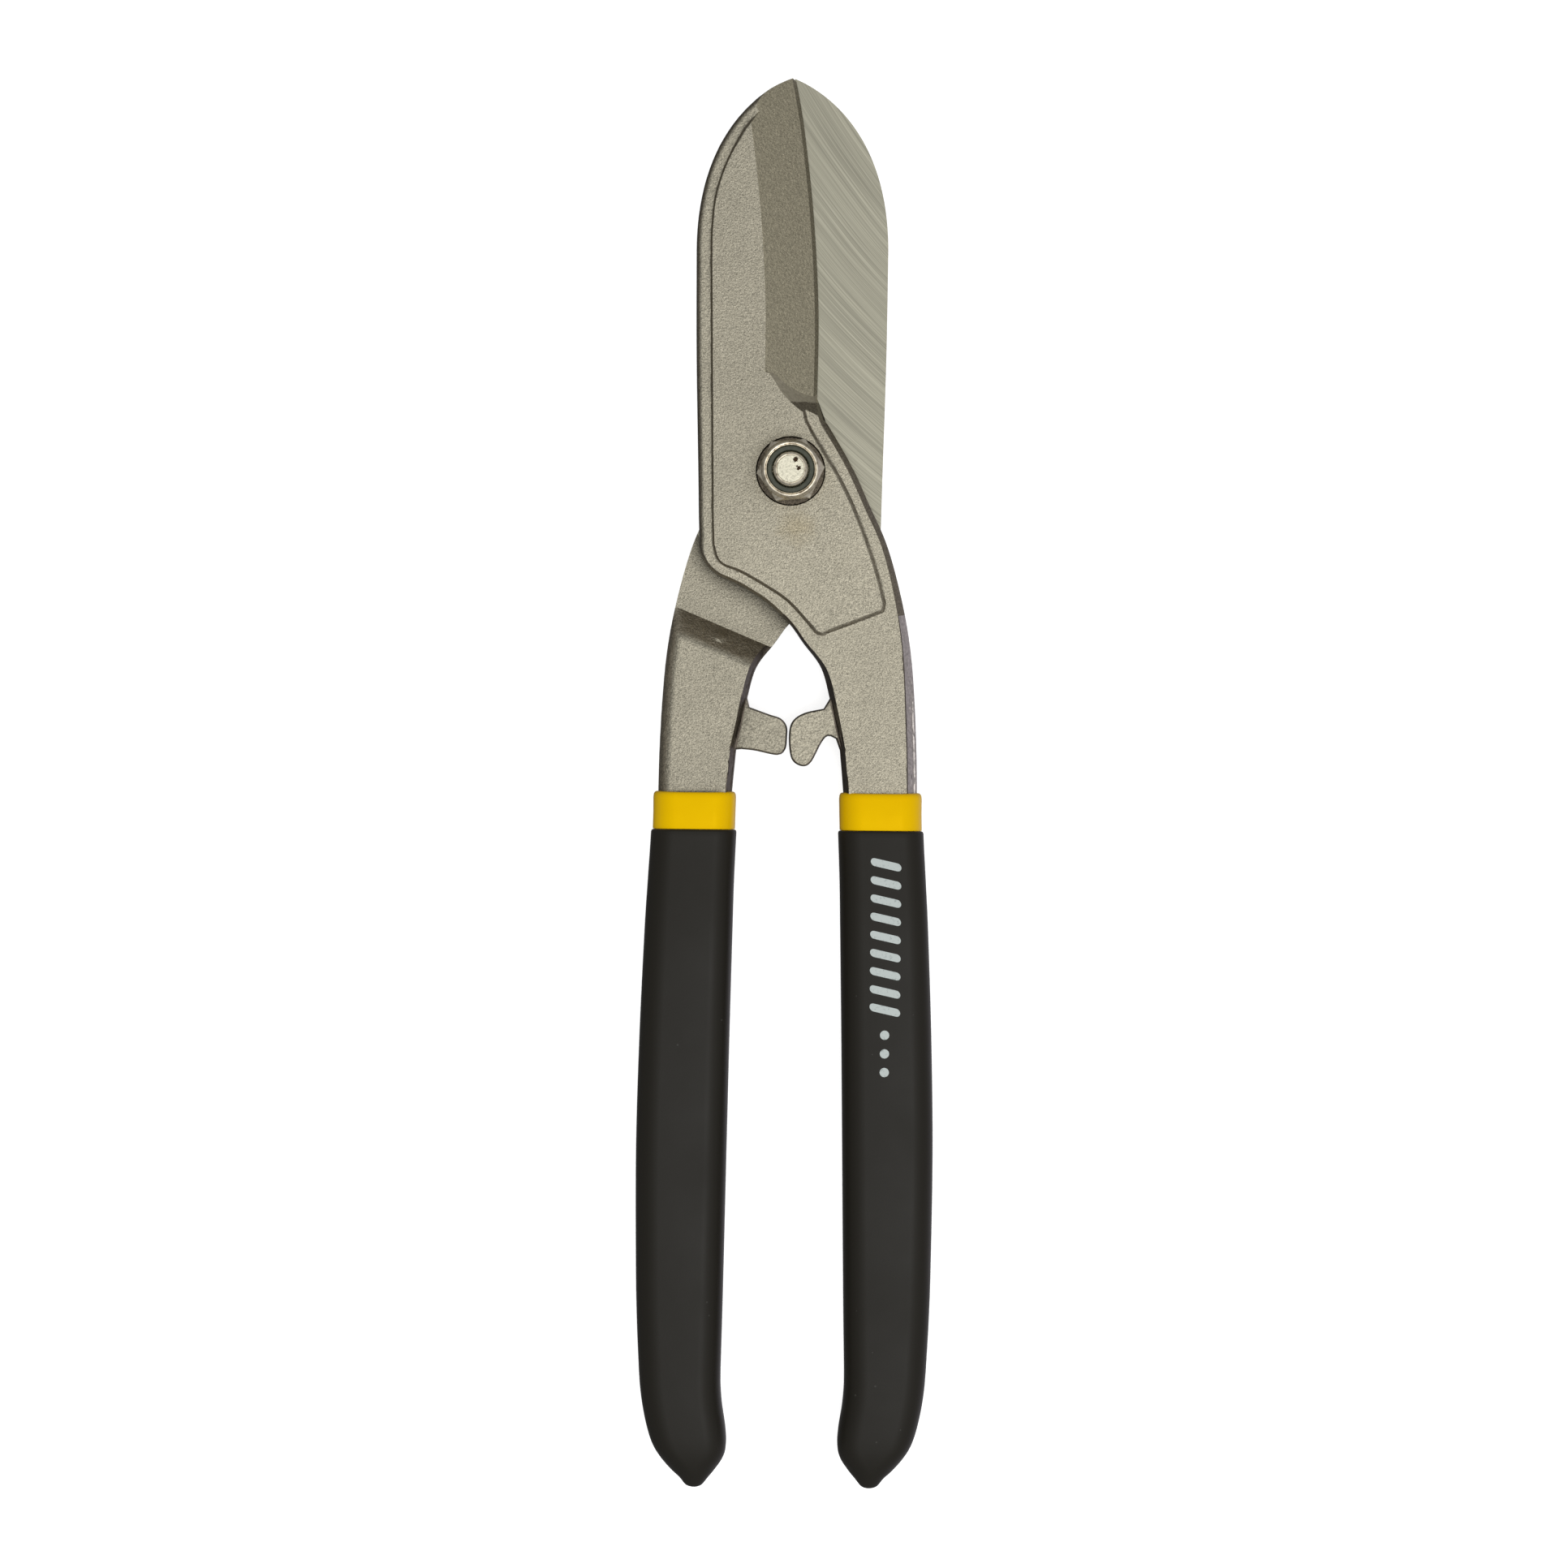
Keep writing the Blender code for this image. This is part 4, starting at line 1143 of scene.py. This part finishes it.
def print_mesh():
    """A plain row of slanted bars and dots, a skin's thickness over the right grip."""
    mesh = bmesh.new()
    shapes = [rounded_bar(PRINT_X, PRINT_TOP - PRINT_PITCH * i, 6.6, 1.7, -0.22) for i in range(PRINT_BARS)]
    low = PRINT_TOP - PRINT_PITCH * PRINT_BARS - 1.5
    shapes += [rounded_bar(PRINT_X, low - 4.0 * i, 2.01, 2.0, 0.0) for i in range(3)]
    for shape in shapes:
        loops = []
        for proud in (-0.12, 0.035):
            loops.append([mesh.verts.new((x, y, grip_frame(y, 0.0)[2] + proud)) for x, y in shape])
        mesh.faces.new(loops[0][::-1])
        mesh.faces.new(loops[1])
        bridge(mesh, *loops)
    return mesh


def make_grips():
    yellow, black = yellow_vinyl(), black_vinyl()
    finished("grip_print", print_mesh(), [white_ink()], "front_side", "black_vinyl")
    for side, body, flipped in (("left", "rear_side", True), ("right", "front_side", False)):
        finished(
            f"{side}_yellow_coat", undercoat_mesh(), [yellow], body, "yellow_vinyl", flipped,
            replaced=[f"{side}_undercoat"],
        )
        finished(
            f"{side}_black_coat", grip_mesh(), [black], body, "black_vinyl", flipped,
            replaced=[f"{side}_grip"],
        )


def make_backdrop():
    """A white floor that curves up far away. It lights nothing itself, so that metal doesn't mirror it."""
    mesh = bmesh.new()
    turns = np.radians(np.arange(0, 360, 7.5))
    loops = []
    for r, z in [(3.0, 0.0), (3.8, 0.2), (4.4, 0.8), (4.6, 1.8), (4.6, 5.0)]:
        loops.append([mesh.verts.new((r * math.cos(a), r * math.sin(a), z)) for a in turns])
    mesh.faces.new(loops[0])
    for low, high in zip(loops, loops[1:]):
        bridge(mesh, low, high)
    bmesh.ops.recalc_face_normals(mesh, faces=mesh.faces)
    bmesh.ops.reverse_faces(mesh, faces=mesh.faces)
    data = bpy.data.meshes.new("backdrop")
    mesh.to_mesh(data)
    mesh.free()
    data.shade_smooth()
    backdrop = bpy.data.objects.new("backdrop", data)
    bpy.context.scene.collection.objects.link(backdrop)
    paper = Shader("paper", (0.85, 0.85, 0.85), 0.9, 0.0)
    paper.set("Specular IOR Level", 0.0)
    paper.set("Emission Color", (1.0, 1.0, 1.0, 1.0))
    paper.set("Emission Strength", 0.72)
    data.materials.append(paper.material)
    backdrop.visible_glossy = False
    backdrop.visible_diffuse = False
    backdrop.visible_shadow = False


def glow(tree, axis, colour, light_at):
    """Light that depends only on the angle, in degrees, from an axis."""
    place = tree.nodes.new("ShaderNodeTexCoord")
    towards = tree.nodes.new("ShaderNodeVectorMath")
    towards.operation = "DOT_PRODUCT"
    towards.inputs[1].default_value = Vector(axis).normalized() / 2
    share = tree.nodes.new("ShaderNodeMath")
    share.inputs[1].default_value = 0.5
    ramp = tree.nodes.new("ShaderNodeValToRGB")
    tree.links.new(place.outputs["Generated"], towards.inputs[0])
    tree.links.new(towards.outputs["Value"], share.inputs[0])
    tree.links.new(share.outputs[0], ramp.inputs["Fac"])
    angles = [180, 150, 125, 110, 100, 90, 80, 70, 60, 50, 42, 34, 27, 20, 13, 6, 0]
    elements = ramp.color_ramp.elements
    while len(elements) < len(angles):
        elements.new(0.5)
    for element, angle in zip(elements, angles):
        element.position = 0.5 + 0.5 * math.cos(math.radians(angle))
        element.color = (*tint(colour, light_at(angle)), 1.0)
    return ramp.outputs["Color"]


def bell(angle, width):
    return math.exp(-0.5 * (angle / width) ** 2)


def make_lights():
    """A wide soft light overhead, a faint card low on the right and a dim room."""
    world = bpy.data.worlds.new("studio")
    bpy.context.scene.world = world
    world.use_nodes = True
    tree = world.node_tree
    white = (1.0, 1.0, 1.0)
    lights = [
        glow(tree, LIGHT_AXIS, white, lambda a: SOFT_LIGHT * bell(a, LIGHT_SPREAD)),
        glow(tree, (0, 0, 1), white, lambda a: ROOM_LIGHT * (1.0 - 0.75 * float(smooth((a - 85.0) / 40.0)))),
        glow(tree, CARD_AXIS, CARD_COLOUR, lambda a: CARD_LIGHT * bell(a, CARD_SPREAD)),
    ]
    total = lights[0]
    for light in lights[1:]:
        both = tree.nodes.new("ShaderNodeVectorMath")
        tree.links.new(total, both.inputs[0])
        tree.links.new(light, both.inputs[1])
        total = both.outputs[0]
    tree.links.new(total, tree.nodes["Background"].inputs["Color"])
    add_light("softbox", LIGHT_AXIS * SOFTBOX_DISTANCE, (0.0, 0.0, 0.0), SOFTBOX, SOFTBOX_POWER)


def add_light(name, place, aim, size, power):
    light = bpy.data.lights.new(name, "AREA")
    light.size = size
    light.energy = power
    lamp = bpy.data.objects.new(name, light)
    lamp.location = place
    lamp.rotation_euler = (Vector(aim) - Vector(place)).to_track_quat("-Z", "Y").to_euler()
    bpy.context.scene.collection.objects.link(lamp)


def make_camera():
    """Straight above, rolled by half a degree."""
    scene = bpy.context.scene
    scene.view_settings.view_transform = "Standard"
    data = bpy.data.cameras.new("camera")
    data.sensor_width = 36.0
    data.lens = 36.0 * CAMERA_HEIGHT / FRAME_WIDTH
    camera = bpy.data.objects.new("camera", data)
    camera.location = (CAMERA_AIM[0], CAMERA_AIM[1], CAMERA_HEIGHT + PIVOT[2] * MM)
    camera.rotation_euler.z = CAMERA_ROLL
    scene.collection.objects.link(camera)
    scene.camera = camera


make_backdrop()
make_lights()
make_camera()
make_levers()
make_pivot()
make_grips()
